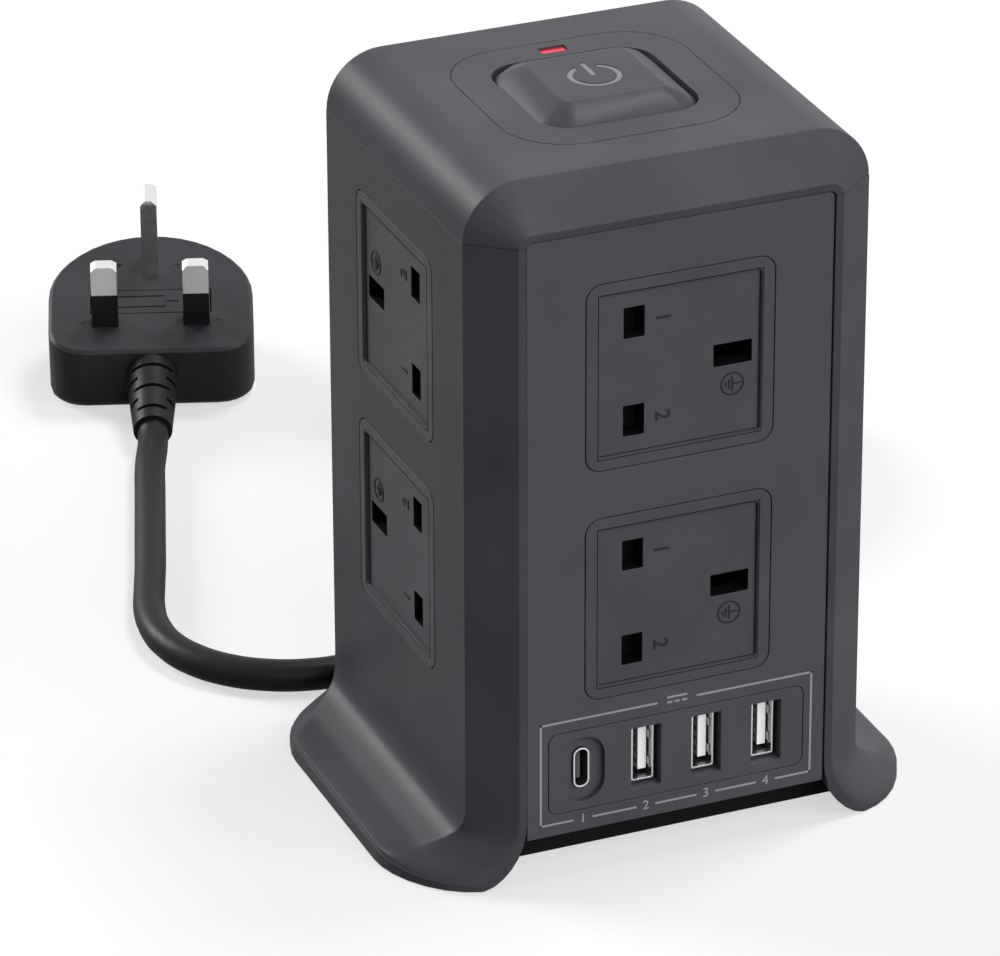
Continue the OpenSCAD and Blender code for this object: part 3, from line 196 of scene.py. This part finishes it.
STEEL = finish_of("zinc plated steel", (0.6, 0.6, 0.62), 0.3, grain=0.3, relief=0.003, metal=1)
# Plated steel, with a glow that paints light on the ports' steel rims
GLOWING_PORT_STEEL = finish_of("port steel with painted glow", (0.9, 0.9, 0.92), 0.24, grain=0.3, relief=0.002, edge=0.1, metal=1,
                        spread=0.04, stretch=(1, 0.15, 1), glow=0.2)
PIN_STEEL = finish_of("nickel plate", (0.8, 0.79, 0.78), 0.2, grain=0.4, relief=0.002, edge=0.25, metal=1,
                      spread=0.04, stretch=(1, 1, 0.12))
BRASS = finish_of("pressed brass", (0.72, 0.5, 0.2), 0.3, grain=0.4, relief=0.003, metal=1)
PLATED = finish_of("contact plating", (0.75, 0.72, 0.66), 0.25, grain=0.2, relief=0.001, edge=0, metal=1)
# Darker steel that paints shade on the shells and spring leaves deep inside the ports
PAINTED_PORT_SHADE = finish_of("painted port shade", (0.32, 0.32, 0.33), 0.3, grain=0.3, relief=0.002, edge=0, metal=1,
                       stretch=(1, 0.15, 1))
# White moulding, with a glow that paints light on the ports' tongues
GLOWING_WHITE = finish_of("white moulding with painted glow", (0.9, 0.9, 0.9), 0.4, grain=0.4, relief=0.005, edge=0.1, spread=0.03,
                  glow=0.3)
# Grey that paints shade on the white tongues' faces deeper inside the ports
PAINTED_TONGUE_SHADE = finish_of("painted tongue shade", (0.42, 0.42, 0.43), 0.45, grain=0.4, relief=0.005, edge=0)
DARK_TONGUE = finish_of("dark tongue", grey(0.12), 0.4, grain=0.3, relief=0.004, edge=0.1)
PRINT = finish_of("grey print", grey(0.36), 0.5, grain=0.15, relief=0.003, edge=0, spread=0.06)
SYMBOL = finish_of("grey inlay", grey(0.24), 0.45, grain=0.3, relief=0.003, edge=0.1, spread=0.06)
MOULDED = finish_of("moulded mark", grey(0.030), 0.5, grain=0.3, relief=0.006, edge=0.06)
LENS = finish_of("red lens", (0.62, 0.02, 0.035), 0.18, grain=0.5, relief=0.002, edge=0.1, glow=0.25,
                 coat=0.4)
RED = finish_of("red moulding", (0.42, 0.02, 0.02), 0.35, grain=0.4, relief=0.005)
BOARD = finish_of("board lacquer", (0.02, 0.13, 0.05), 0.3, grain=1.0, relief=0.01)
CHIPS = finish_of("component bodies", grey(0.05), 0.45, grain=0.5, relief=0.01)
SHEATH = finish_of("cable sheath", grey(0.010), 0.44, grain=1.2, relief=0.012, edge=0)
TIE = finish_of("woven tie", grey(0.016), 0.85, grain=0.5, relief=0.12, edge=0, stretch=(1, 3, 1))
PLUG = finish_of("plug plastic", grey(0.034, 1.14), 0.4, grain=0.45, relief=0.006, edge=0.4)
SLEEVE = finish_of("pin sleeve", grey(0.014), 0.4, grain=0.3, relief=0.004, edge=0.15)
CERAMIC = finish_of("fuse ceramic", (0.7, 0.67, 0.58), 0.45, grain=0.4, relief=0.006)

NODE_FINISH = {
    CASE: ["left_shell", "right_shell", "top_cap", "switch_bezel"],
    PANEL: ["front_panel", "rear_panel", "port_frame"],
    SOCKET: [f"socket_{face}_{level}" for face in FACES for level in SOCKET_UP],
    KEY: ["power_button"],
    BASE: ["base_plate"],
    INNER: ["inner_frame", "cord_clamp", "switch_body", "breaker_body"],
    SHUTTER: [f"shutter_{face}_{level}" for face in FACES for level in SOCKET_UP],
    RUBBER: ["rubber_feet"],
    STEEL: ["case_screws", "shutter_springs", "button_spring"],
    GLOWING_PORT_STEEL: ["small_port_shell", "wide_port_shells"],
    PIN_STEEL: ["earth_pin", "line_pins"],
    BRASS: ["live_busbar", "neutral_busbar", "earth_busbar"],
    GLOWING_WHITE: ["wide_port_tongues"],
    DARK_TONGUE: ["small_port_tongue"],
    SYMBOL: ["power_symbol"],
    LENS: ["indicator_lens"],
    RED: ["reset_button"],
    BOARD: ["indicator_board", "charging_board"],
    CHIPS: ["board_parts"],
    SHEATH: ["cord_grip", "lead_exit", "lead_coil", "lead_run", "plug_grip"],
    TIE: ["coil_tie"],
    PLUG: ["plug_body", "fuse_carrier"],
    SLEEVE: ["pin_sleeves"],
    CERAMIC: ["fuse"],
}
for finish, names in NODE_FINISH.items():
    for name in names:
        node = frame["nodes"][name]
        if not node.material_slots:
            node.data.materials.append(finish)
        for holder in node.material_slots:
            holder.link = "OBJECT"
            holder.material = finish


# ---------------------------------------------------------------- workshop

# Angles between faces, in degrees
FLAT_WITHIN, SMOOTH_UNDER, SHARP_OVER = 0.5, 30, 40
FACES_UP = 0.999      # a face whose normal's height is over this points straight up


def pick(piece):
    bpy.ops.object.select_all(action="DESELECT")
    piece.select_set(True)
    bpy.context.view_layer.objects.active = piece


def settle(piece, name, finish, body="housing"):
    """Names a finished piece, gives it its finish and slot, and lets it ride on its body."""
    piece.name = name
    piece.data.name = name
    piece.data.materials.clear()
    piece.data.materials.append(finish)
    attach(piece, body)
    return piece


def joined(parts):
    bpy.ops.object.select_all(action="DESELECT")
    for part in parts:
        part.select_set(True)
    bpy.context.view_layer.objects.active = parts[0]
    if len(parts) > 1:
        bpy.ops.object.join()
    return bpy.context.object


def baked_place(piece):
    pick(piece)
    bpy.ops.object.transform_apply(location=True, rotation=True, scale=True)
    return piece


def normals_by_edge(mesh):
    """The normals of the faces that meet at each edge."""
    meeting = {edge.key: [] for edge in mesh.edges}
    for face in mesh.polygons:
        for key in face.edge_keys:
            meeting[key].append(face.normal)
    return meeting


def keep_top_crisp(mesh):
    """Marks the outline of the faces that point straight up as sharp."""
    meeting = normals_by_edge(mesh)
    for edge in mesh.edges:
        if len({normal.z > FACES_UP for normal in meeting[edge.key]}) == 2:
            edge.use_edge_sharp = True


def mark_sharp_edges(mesh, above):
    """Gives bevel weight to the sharp edges that lie higher than above, in mm."""
    weight = mesh.attributes.new("bevel_weight_edge", "FLOAT", "EDGE")
    meeting = normals_by_edge(mesh)
    for edge in mesh.edges:
        normals = meeting[edge.key]
        high = min(mesh.vertices[i].co.z for i in edge.vertices) > above * MM
        if high and len(normals) == 2 and normals[0].angle(normals[1], 0) > math.radians(SHARP_OVER):
            weight.data[edge.index].value = 1


def smooth_skin(name, edge=0.0, above=-1.0, crisp_top=False):
    """The node's own shape with its doubled points merged, so that its curves shade smoothly.

    Where edge is more than zero, the sharp edges that lie higher than above are broken by that many mm.
    With crisp_top, no smooth shading runs over the outline of the top.
    """
    node = frame["nodes"][name]
    body = node["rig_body"]
    mesh = node.data.copy()
    piece = bpy.data.objects.new(name + "_skin", mesh)
    bpy.context.scene.collection.objects.link(piece)
    finish = node.material_slots[0].material
    pick(piece)
    bpy.ops.object.mode_set(mode="EDIT")
    bpy.ops.mesh.select_all(action="SELECT")
    bpy.ops.mesh.customdata_custom_splitnormals_clear()
    bpy.ops.mesh.remove_doubles(threshold=1e-6)
    if edge:
        bpy.ops.mesh.dissolve_limited(angle_limit=math.radians(FLAT_WITHIN))
    bpy.ops.object.mode_set(mode="OBJECT")
    if edge:
        mark_sharp_edges(mesh, above)
        broken = piece.modifiers.new("broken edges", "BEVEL")
        broken.width = edge * MM
        broken.segments = 2
        broken.limit_method = "WEIGHT"
        broken.use_clamp_overlap = False
        bpy.ops.object.modifier_apply(modifier=broken.name)
    bpy.ops.object.shade_smooth_by_angle(angle=math.radians(SMOOTH_UNDER))
    if crisp_top:
        keep_top_crisp(mesh)
    flat = piece.modifiers.new("flat faces", "WEIGHTED_NORMAL")
    flat.keep_sharp = True
    bpy.ops.object.modifier_apply(modifier=flat.name)
    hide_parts(name)
    return settle(piece, name + "_skin", finish, body)


# ---------------------------------------------------------------- the lead and its plug

LEAD_D = 7.4
# The coil behind the tower: each turn, and its second layer, lies COIL_STEP from the one before
COIL_CENTRE, COIL_R, COIL_STEP, COIL_TURNS, COIL_UP = (57.0, 133.0), 54.0, 7.85, 5.75, 4.3
# The lead's way from the tower to the coil, and on from the coil to the plug
EXIT = [(0, 68.95, 20), (0, 73, 20), (0, 79.5, 19.4), (0, 87, 17.4), (0.2, 95, 14), (0.8, 103, 10.1),
        (1.9, 110.8, 6.8), (3, 118.2, 4.7)]
RUN = [(42, 79, 12.05), (32, 78, 10.6), (22, 75.7, 8.3), (12, 72.3, 6), (2, 68.3, 4.4), (-9, 63.4, 3.7),
       (-18, 59, 3.7), (-27, 55, 3.7), (-37, 52.8, 3.7), (-46, 53.8, 3.7), (-54.4, 57.2, 3.7),
       (-61.6, 62.8, 3.7), (-66.8, 70.2, 3.7), (-69.6, 78.8, 3.7), (-69.8, 88, 3.7), (-68, 97, 3.7),
       (-64.8, 106, 3.7), (-61, 116, 3.7), (-56.5, 128.6, 3.7), (-52, 141.2, 3.7), (-47.5, 153.8, 3.7),
       (-43.5, 165, 4)]
# The plug: where its lower edge stands, its angles, and its pins' place over that edge and its back
PLUG_AT, PLUG_TURN, PLUG_TILT, PLUG_LOW, PLUG_T = (-29.0, 203.4), 19.6, 12.0, 12.0, 17.5
PLUG_GRIP, PLUG_LEAD_Z = 22, -7.4     # its strain relief's length, and the lead's place under its face


def plug_frame():
    """Places the plug: x to the right, y to the earth pin, z out along the pins, in mm."""
    return (Matrix.Translation((PLUG_AT[0], PLUG_AT[1], 0))
            @ Matrix.Rotation(math.radians(-PLUG_TURN), 4, "Z")
            @ Matrix.Rotation(math.radians(PLUG_TILT), 4, "X")
            @ Matrix.Translation((0, PLUG_LOW, PLUG_T)))


def coil_point(turn):
    """The coil winds inwards for half its turns, rises by one layer, and winds out again."""
    half = COIL_TURNS / 2
    r = COIL_R - COIL_STEP * (turn if turn < half else COIL_TURNS - turn)
    a = math.radians(180 - 360 * turn)
    lift = min(1, max(0, 2 * (turn - half) + 0.5))
    return (COIL_CENTRE[0] + r * math.cos(a), COIL_CENTRE[1] + r * math.sin(a),
            COIL_UP + COIL_STEP * lift * lift * (3 - 2 * lift))


def make_lead():
    per_turn = 16
    coil = [coil_point(i / per_turn) for i in range(round(COIL_TURNS * per_turn) + 1)]
    start = (COIL_CENTRE[0] - COIL_R, COIL_CENTRE[1] - LEAD_D, COIL_UP)
    end = (COIL_CENTRE[0] - LEAD_D, COIL_CENTRE[1] - COIL_R, COIL_UP + COIL_STEP)
    grip_end = -PLUG_LOW - PLUG_GRIP
    plug_end = [tuple(plug_frame() @ Vector((0, grip_end - straight, PLUG_LEAD_Z))) for straight in (4, 0)]
    route = EXIT + [start] + coil + [end] + RUN + plug_end
    length = sum((Vector(b) - Vector(a)).length for a, b in zip(route, route[1:])) * MM

    curve = bpy.data.curves.new("mains_lead", "CURVE")
    curve.dimensions = "3D"
    curve.bevel_depth = LEAD_D / 2 * MM
    curve.bevel_resolution = 6
    curve.resolution_u = 4
    curve.use_fill_caps = True
    spline = curve.splines.new("BEZIER")
    spline.bezier_points.add(len(route) - 1)
    for knot, place in zip(spline.bezier_points, route):
        knot.co = Vector(place) * MM
        knot.handle_left_type = knot.handle_right_type = "AUTO"
    lead = bpy.data.objects.new("mains_lead", curve)
    bpy.context.scene.collection.objects.link(lead)
    curve.materials.append(SHEATH)
    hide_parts("lead_exit", "lead_coil", "lead_run")
    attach(lead, "housing")
    return lead, length


lead, lead_length = make_lead()
PLUG_NODES = ("plug_grip", "plug_body", "earth_pin", "line_pins", "pin_sleeves")
plug_pieces = [smooth_skin(name) for name in PLUG_NODES]
tie = smooth_skin("coil_tie")


# ---------------------------------------------------------------- smooth skins of the housing

CASE_EDGE, PANEL_EDGE = 0.22, 0.15

for name in ["left_shell", "right_shell", "top_cap"]:
    smooth_skin(name, edge=CASE_EDGE, above=FOOT_TOP)
for name in ["front_panel", "rear_panel", "switch_bezel", "port_frame"] + NODE_FINISH[SOCKET]:
    smooth_skin(name, edge=PANEL_EDGE)
smooth_skin("power_button", crisp_top=True)
for name in ["cord_grip", "rubber_feet", "reset_button"]:
    smooth_skin(name)


# ---------------------------------------------------------------- slots and marks

FIGURE_SHARE, FIGURE_BOLDER = 0.73, 0.012     # a figure's height over its font's size, and its swelling
SLOT_ROOM = 0.1       # a slot's walls lie within this of its outline


def on_face(face, x, up, half_turn=False):
    """Places a flat mark on one of the four faces: x to the right, y up, z out, in mm."""
    turn = Matrix.Rotation(math.radians(-90 * face), 4, "Z")
    upright = Matrix.Rotation(math.radians(90), 4, "X")
    place = turn @ Matrix.Translation((x, 0, up)) @ upright
    return place @ Matrix.Rotation(math.pi, 4, "Z") if half_turn else place


def darken_slots(piece, place):
    """Paints shade on the walls inside a socket's slots by giving them a near-black second finish."""
    piece.data.materials.append(PAINTED_SHADE)
    into_face = (Matrix.Scale(MM, 4) @ place).inverted()
    for face in piece.data.polygons:
        spot = into_face @ face.center
        out = into_face.to_3x3() @ face.normal
        level = abs(out.normalized().z) < 0.5
        for x, y, w, h in SLOTS:
            if level and abs(spot.x - x) < w / 2 + SLOT_ROOM and abs(spot.y - y) < h / 2 + SLOT_ROOM:
                face.material_index = 1


def to_place(piece, place, out):
    """Moves a mark drawn in mm to its place in metres, with its foot at out."""
    piece.data.transform(Matrix.Scale(MM, 4) @ place @ Matrix.Translation((0, 0, out)))
    return piece


def bar(x0, y0, x1, y1, thick):
    """A flat bar between two corners."""
    bpy.ops.object.select_all(action="DESELECT")
    bpy.ops.mesh.primitive_cube_add(size=1, location=((x0 + x1) / 2, (y0 + y1) / 2, thick / 2),
                                    scale=(abs(x1 - x0), abs(y1 - y0), thick))
    return baked_place(bpy.context.object)


def ring(x, y, r, line, thick):
    """A flat ring whose outer edge is r from its centre."""
    bpy.ops.object.select_all(action="DESELECT")
    bpy.ops.mesh.primitive_circle_add(vertices=48, radius=r, fill_type="NGON", location=(x, y, 0))
    piece = baked_place(bpy.context.object)
    bpy.ops.object.mode_set(mode="EDIT")
    bpy.ops.mesh.select_all(action="SELECT")
    bpy.ops.mesh.inset(thickness=line)
    bpy.ops.mesh.delete(type="FACE")
    bpy.ops.mesh.select_all(action="SELECT")
    bpy.ops.mesh.extrude_region_move(TRANSFORM_OT_translate={"value": (0, 0, thick)})
    bpy.ops.mesh.select_all(action="SELECT")
    bpy.ops.mesh.normals_make_consistent(inside=False)
    bpy.ops.object.mode_set(mode="OBJECT")
    return piece


def dot(x, y, r, thick):
    """A raised dot with a sloped upper edge."""
    upright, top_r = 0.6, 0.6     # as shares of its thickness and radius
    bpy.ops.object.select_all(action="DESELECT")
    bpy.ops.mesh.primitive_circle_add(vertices=24, radius=r, fill_type="NGON", location=(x, y, 0))
    piece = baked_place(bpy.context.object)
    bpy.ops.object.mode_set(mode="EDIT")
    bpy.ops.mesh.select_all(action="SELECT")
    bpy.ops.mesh.extrude_region_move(TRANSFORM_OT_translate={"value": (0, 0, thick * upright)})
    bpy.ops.mesh.extrude_region_move(TRANSFORM_OT_translate={"value": (0, 0, thick * (1 - upright))})
    bpy.ops.transform.resize(value=(top_r, top_r, 1))
    bpy.ops.mesh.select_all(action="SELECT")
    bpy.ops.mesh.normals_make_consistent(inside=False)
    bpy.ops.object.mode_set(mode="OBJECT")
    return piece


def digit(figure, x, y, size, thick):
    """A plain figure that is size high, with its middle at x and y."""
    bpy.ops.object.select_all(action="DESELECT")
    bpy.ops.object.text_add(location=(x, y, thick / 2))
    words = bpy.context.object
    words.data.body = figure
    words.data.size = size / FIGURE_SHARE
    words.data.align_x, words.data.align_y = "CENTER", "CENTER"
    words.data.extrude = thick / 2
    words.data.offset = FIGURE_BOLDER * size
    bpy.ops.object.convert(target="MESH")
    return baked_place(bpy.context.object)


def earth_sign(x, y, stem, line, thick, ring_r=0.0):
    """A stem over three bars that get shorter downwards, with a ring round them if it has a size."""
    parts = [ring(x, y, ring_r, line, thick)] if ring_r else []
    parts.append(bar(x - line / 2, y, x + line / 2, y + stem, thick))
    for step, half_share in enumerate((0.8, 0.52, 0.24)):
        low, half = y - step * stem * 0.38, half_share * stem
        parts.append(bar(x - half, low - line / 2, x + half, low + line / 2, thick))
    return joined(parts)


def turned_right(piece, x, y):
    """Turns a mark a quarter turn to the right about a point."""
    piece.data.transform(Matrix.Translation((x, y, 0)) @ Matrix.Rotation(math.radians(-90), 4, "Z")
                         @ Matrix.Translation((-x, -y, 0)))
    return piece


def socket_marks():
    """Plain figures by the two line slots and the earth sign by the third, all turned as on the object."""
    thick, figure_x, figure_size = 0.16, LINE_X + 6.4, 3.4
    sign_y, sign_r, sign_stem, sign_line = -6.9, 2.65, 1.9875, 0.32
    sign = earth_sign(EARTH_X, sign_y, sign_stem, sign_line, thick, sign_r)
    return joined([
        turned_right(digit("1", figure_x, LINE_Y, figure_size, thick), figure_x, LINE_Y),
        turned_right(digit("2", figure_x, -LINE_Y, figure_size, thick), figure_x, -LINE_Y),
        turned_right(sign, EARTH_X, sign_y),
    ])


def outline(half_w, half_h, line, thick, centre=(0, 0, 0)):
    """Four bars with their outer edges half_w and half_h from the centre."""
    sides = joined([
        bar(-half_w, half_h - line, half_w, half_h, thick),
        bar(-half_w, -half_h, half_w, -half_h + line, thick),
        bar(-half_w, -half_h, -half_w + line, half_h, thick),
        bar(half_w - line, -half_h, half_w, half_h, thick),
    ])
    sides.data.transform(Matrix.Translation(centre))
    return sides


def face_gap():
    """Thin dark strips round a sunk socket face, below and above its edge, that paint the shade of the gap
    there.
    """
    half_w, half_h, low_line, thick = 18.15, 18.3, 0.25, 0.03
    wider, high_line = 0.36, 0.18
    return joined([outline(half_w, half_h, low_line, thick),
                   outline(half_w + wider, half_h + wider, high_line, thick, (0, 0, FACE_SUNK))])


# The figures and earth sign are moulded marks; the strips round each socket face are painted shade
patterns = {"marks": (socket_marks(), MOULDED), "gap": (face_gap(), PAINTED_SHADE)}
for face, face_name in enumerate(FACES):
    for level, up in SOCKET_UP.items():
        place = on_face(face, 0, up, half_turn=face % 2 == 1)
        # The walls inside each socket's slots get painted shade
        darken_slots(bpy.data.objects[f"socket_{face_name}_{level}_skin"], place)
        for kind, (pattern, finish) in patterns.items():
            piece = pattern.copy()
            piece.data = pattern.data.copy()
            bpy.context.scene.collection.objects.link(piece)
            to_place(piece, place, FACE_OUT[face] - FACE_SUNK)
            settle(piece, f"socket_{kind}_{face_name}_{level}", finish)
for pattern, finish in patterns.values():
    bpy.data.objects.remove(pattern)


def port_marks():
    """The printed frame round the ports, with a direct current sign and plain figures."""
    thick, line = 0.04, 0.45
    left, right, low, high = -31.4, 31.4, 12.8, 37.3
    half_sign, long_up, dash_up, dash, dash_step = 2.3, 37.7, 36.5, 1.196, 1.702
    figure_size, room = 2.2, 2.2
    parts = [
        bar(left, low, left + line, high, thick),
        bar(right - line, low, right, high, thick),
        bar(left, high - line, -half_sign - room, high, thick),
        bar(half_sign + room, high - line, right, high, thick),
        bar(-half_sign, long_up, half_sign, long_up + line, thick),
    ]
    for step in range(3):
        x = -half_sign + step * dash_step
        parts.append(bar(x, dash_up, x + dash, dash_up + line, thick))
    places = (SMALL_PORT,) + WIDE_PORTS
    for number, x in enumerate(places, 1):
        parts.append(digit(str(number), x, low + line / 2, figure_size, thick))
    edges = [left] + [edge for x in places for edge in (x - room, x + room)] + [right]
    for a, b in zip(edges[::2], edges[1::2]):
        parts.append(bar(a, low, b, low + line, thick))
    return joined(parts)


settle(to_place(port_marks(), on_face(0, 0, 0), PANEL_OUT), "port_marks", PRINT)


# ---------------------------------------------------------------- inside the ports

# How far behind the panel these lie: the shells' and tongues' rims, the leaves' middles, the contacts' ends
SMALL_SHELL_SUNK, WIDE_SHELL_SUNK, TONGUE_SUNK, LEAF_SUNK, CONTACT_SUNK = 0.9, 2.1, 4.4, 6.2, 12.2
RIM_ROOM = 0.05


def spring_leaf(x, up, side):
    """One leaf on a port's long wall, pressed in most at its middle."""
    from_middle, thick, width, length, pressed = 2.12, 0.12, 1.9, 6, 0.28
    bpy.ops.object.select_all(action="DESELECT")
    bpy.ops.mesh.primitive_cube_add(size=1, location=(x + side * from_middle, PORTS_UP + up, 0),
                                    scale=(thick, width, length))
    leaf = baked_place(bpy.context.object)
    bpy.ops.object.mode_set(mode="EDIT")
    bpy.ops.mesh.select_all(action="SELECT")
    bpy.ops.mesh.subdivide(number_cuts=3)
    bpy.ops.object.mode_set(mode="OBJECT")
    for point in leaf.data.vertices:
        point.co.x -= side * pressed * max(0.0, 1 - abs(point.co.z) / (length / 2))
    return leaf


def port_springs():
    """Two leaves on each long wall of the wide ports, and the four contacts of each tongue."""
    leaf_up = 3.2
    first_contact, contact_step, half_width, length = -3.5, 2.33, 0.45, 7.2
    under, over = -0.12, -0.02     # the contacts' faces from the port's middle
    leaves, contacts = [], []
    for x in WIDE_PORTS:
        leaves += [spring_leaf(x, up, side) for side in (-1, 1) for up in (-leaf_up, leaf_up)]
        for step in range(4):
            y = PORTS_UP + first_contact + step * contact_step
            contacts.append(bar(x + under, y - half_width, x + over, y + half_width, length))
    return joined(leaves), joined(contacts)


def darken_depths(name, finish, sunk):
    """Keeps a node's finish on its rim, sunk mm behind the panel, and paints shade on the faces deeper in
    with another, darker finish.
    """
    piece = smooth_skin(name)
    piece.data.materials.append(finish)
    for face in piece.data.polygons:
        face.material_index = int(-face.center.y < (PANEL_OUT - sunk - RIM_ROOM) * MM)


# Deeper in the ports, the shells and the white tongues get painted shade
darken_depths("small_port_shell", PAINTED_PORT_SHADE, SMALL_SHELL_SUNK)
darken_depths("wide_port_shells", PAINTED_PORT_SHADE, WIDE_SHELL_SUNK)
darken_depths("wide_port_tongues", PAINTED_TONGUE_SHADE, TONGUE_SUNK)
leaves, contacts = port_springs()
# The leaves deep in the ports get the painted port shade
settle(to_place(leaves, on_face(0, 0, 0), PANEL_OUT - LEAF_SUNK), "port_leaves", PAINTED_PORT_SHADE)
settle(to_place(contacts, on_face(0, 0, 0), PANEL_OUT - CONTACT_SUNK), "port_contacts", PLATED)


# ---------------------------------------------------------------- marks on the plug's face

def pin_marks():
    """The raised dots and the earth sign by the pins, in the plug's own places."""
    thick, dot_r = 0.2, 0.8
    return joined([
        dot(-16.8, 0.5, dot_r, thick),
        dot(16.8, 0.5, dot_r, thick),
        dot(6.5, 23.5, dot_r, thick),
        earth_sign(-8.2, 23.6, 1.6, 0.3, thick),
    ])


def fuse_sign():
    """The plain sign of a fuse, a box with a line out of it, on the carrier's face."""
    thick, line = 0.2, 0.35
    half_w, half_h, tail, x, y = 6.2, 2.3, 3.2, -2.5, 8.2
    return joined([
        outline(half_w, half_h, line, thick, (x, y, 0)),
        bar(x + half_w, y - line / 2, x + half_w + tail, y + line / 2, thick),
    ])


face_marks = to_place(pin_marks(), plug_frame(), 0)
settle(face_marks, "plug_marks", MOULDED)
carrier_marks = to_place(fuse_sign(), plug_frame(), 0)
settle(carrier_marks, "carrier_marks", MOULDED, "fuse_drawer")


# ---------------------------------------------------------------- floor and light

PURE_WHITE = (1, 1, 1, 1)
WORLD_LEVEL = 0.1
# Name, azimuth, elevation, level and softness of each lamp
LAMPS = [
    ("right_lamp", 22, 24, 0.83, 70),
    ("left_lamp", -144, 26, 0.8, 26),
    ("top_lamp", 102, 66, 0.48, 20),
]
# The floor as it is seen, the share of it that is plain white, and the floor as it lights the tower
FLOOR_SEEN, FLOOR_WHITE, FLOOR_UNSEEN = (0.88, 0.88, 0.88, 1), 0.6, (0.1, 0.1, 0.1, 1)
FLOOR_MIRRORED = 0.4      # the share of the seen floor that reflections show
FLOOR_SIZE = 12           # in metres


def seen_rays(tree, mirrored=1.0):
    """How much of the shown background a ray meets: all for the camera's, and mirrored for a reflection's."""
    path = tree.nodes.new("ShaderNodeLightPath")
    total = path.outputs["Is Camera Ray"]
    for rays, share in (("Is Glossy Ray", mirrored), ("Is Transmission Ray", 1)):
        added = tree.nodes.new("ShaderNodeMath")
        added.operation = "MULTIPLY_ADD"
        added.use_clamp = True
        added.inputs[1].default_value = share
        tree.links.new(path.outputs[rays], added.inputs[0])
        tree.links.new(total, added.inputs[2])
        total = added.outputs["Value"]
    return total


def make_floor():
    bpy.ops.object.select_all(action="DESELECT")
    bpy.ops.mesh.primitive_plane_add(size=FLOOR_SIZE)
    floor = bpy.context.object
    floor.name = "floor"
    material = bpy.data.materials.new("pale floor")
    material.use_nodes = True
    tree = material.node_tree
    tree.nodes.clear()
    out = tree.nodes.new("ShaderNodeOutputMaterial")
    mix = tree.nodes.new("ShaderNodeMixShader")
    unseen = tree.nodes.new("ShaderNodeBsdfDiffuse")
    seen = tree.nodes.new("ShaderNodeBsdfDiffuse")
    white = tree.nodes.new("ShaderNodeEmission")
    shown = tree.nodes.new("ShaderNodeMixShader")
    unseen.inputs["Color"].default_value = FLOOR_UNSEEN
    seen.inputs["Color"].default_value = FLOOR_SEEN
    white.inputs["Color"].default_value = PURE_WHITE
    shown.inputs["Fac"].default_value = FLOOR_WHITE
    tree.links.new(seen.outputs["BSDF"], shown.inputs[1])
    tree.links.new(white.outputs["Emission"], shown.inputs[2])
    tree.links.new(seen_rays(tree, FLOOR_MIRRORED), mix.inputs["Fac"])
    tree.links.new(unseen.outputs["BSDF"], mix.inputs[1])
    tree.links.new(shown.outputs["Shader"], mix.inputs[2])
    tree.links.new(mix.outputs["Shader"], out.inputs["Surface"])
    floor.data.materials.append(material)


def make_lamp(name, azimuth, elevation, level, softness):
    """A broad far lamp. Azimuth 0 stands in front of the tower and 90 at its right."""
    bpy.ops.object.light_add(type="SUN")
    lamp = bpy.context.object
    lamp.name = name
    lamp.data.energy = level * math.pi
    lamp.data.angle = math.radians(softness)
    a, e = math.radians(azimuth), math.radians(elevation)
    towards = Vector((math.sin(a) * math.cos(e), -math.cos(a) * math.cos(e), math.sin(e)))
    lamp.rotation_euler = towards.to_track_quat("Z", "Y").to_euler()


def make_world():
    world = bpy.context.scene.world or bpy.data.worlds.new("studio")
    bpy.context.scene.world = world
    world.use_nodes = True
    tree = world.node_tree
    tree.nodes.clear()
    out = tree.nodes.new("ShaderNodeOutputWorld")
    plain = tree.nodes.new("ShaderNodeBackground")
    white = tree.nodes.new("ShaderNodeBackground")
    mix = tree.nodes.new("ShaderNodeMixShader")
    tree.links.new(seen_rays(tree), mix.inputs["Fac"])
    plain.inputs["Strength"].default_value = WORLD_LEVEL
    tree.links.new(plain.outputs["Background"], mix.inputs[1])
    tree.links.new(white.outputs["Background"], mix.inputs[2])
    tree.links.new(mix.outputs["Shader"], out.inputs["Surface"])
    for background in (plain, white):
        background.inputs["Color"].default_value = PURE_WHITE


make_floor()
make_world()
for lamp in LAMPS:
    make_lamp(*lamp)
bpy.context.scene.view_settings.view_transform = "Standard"
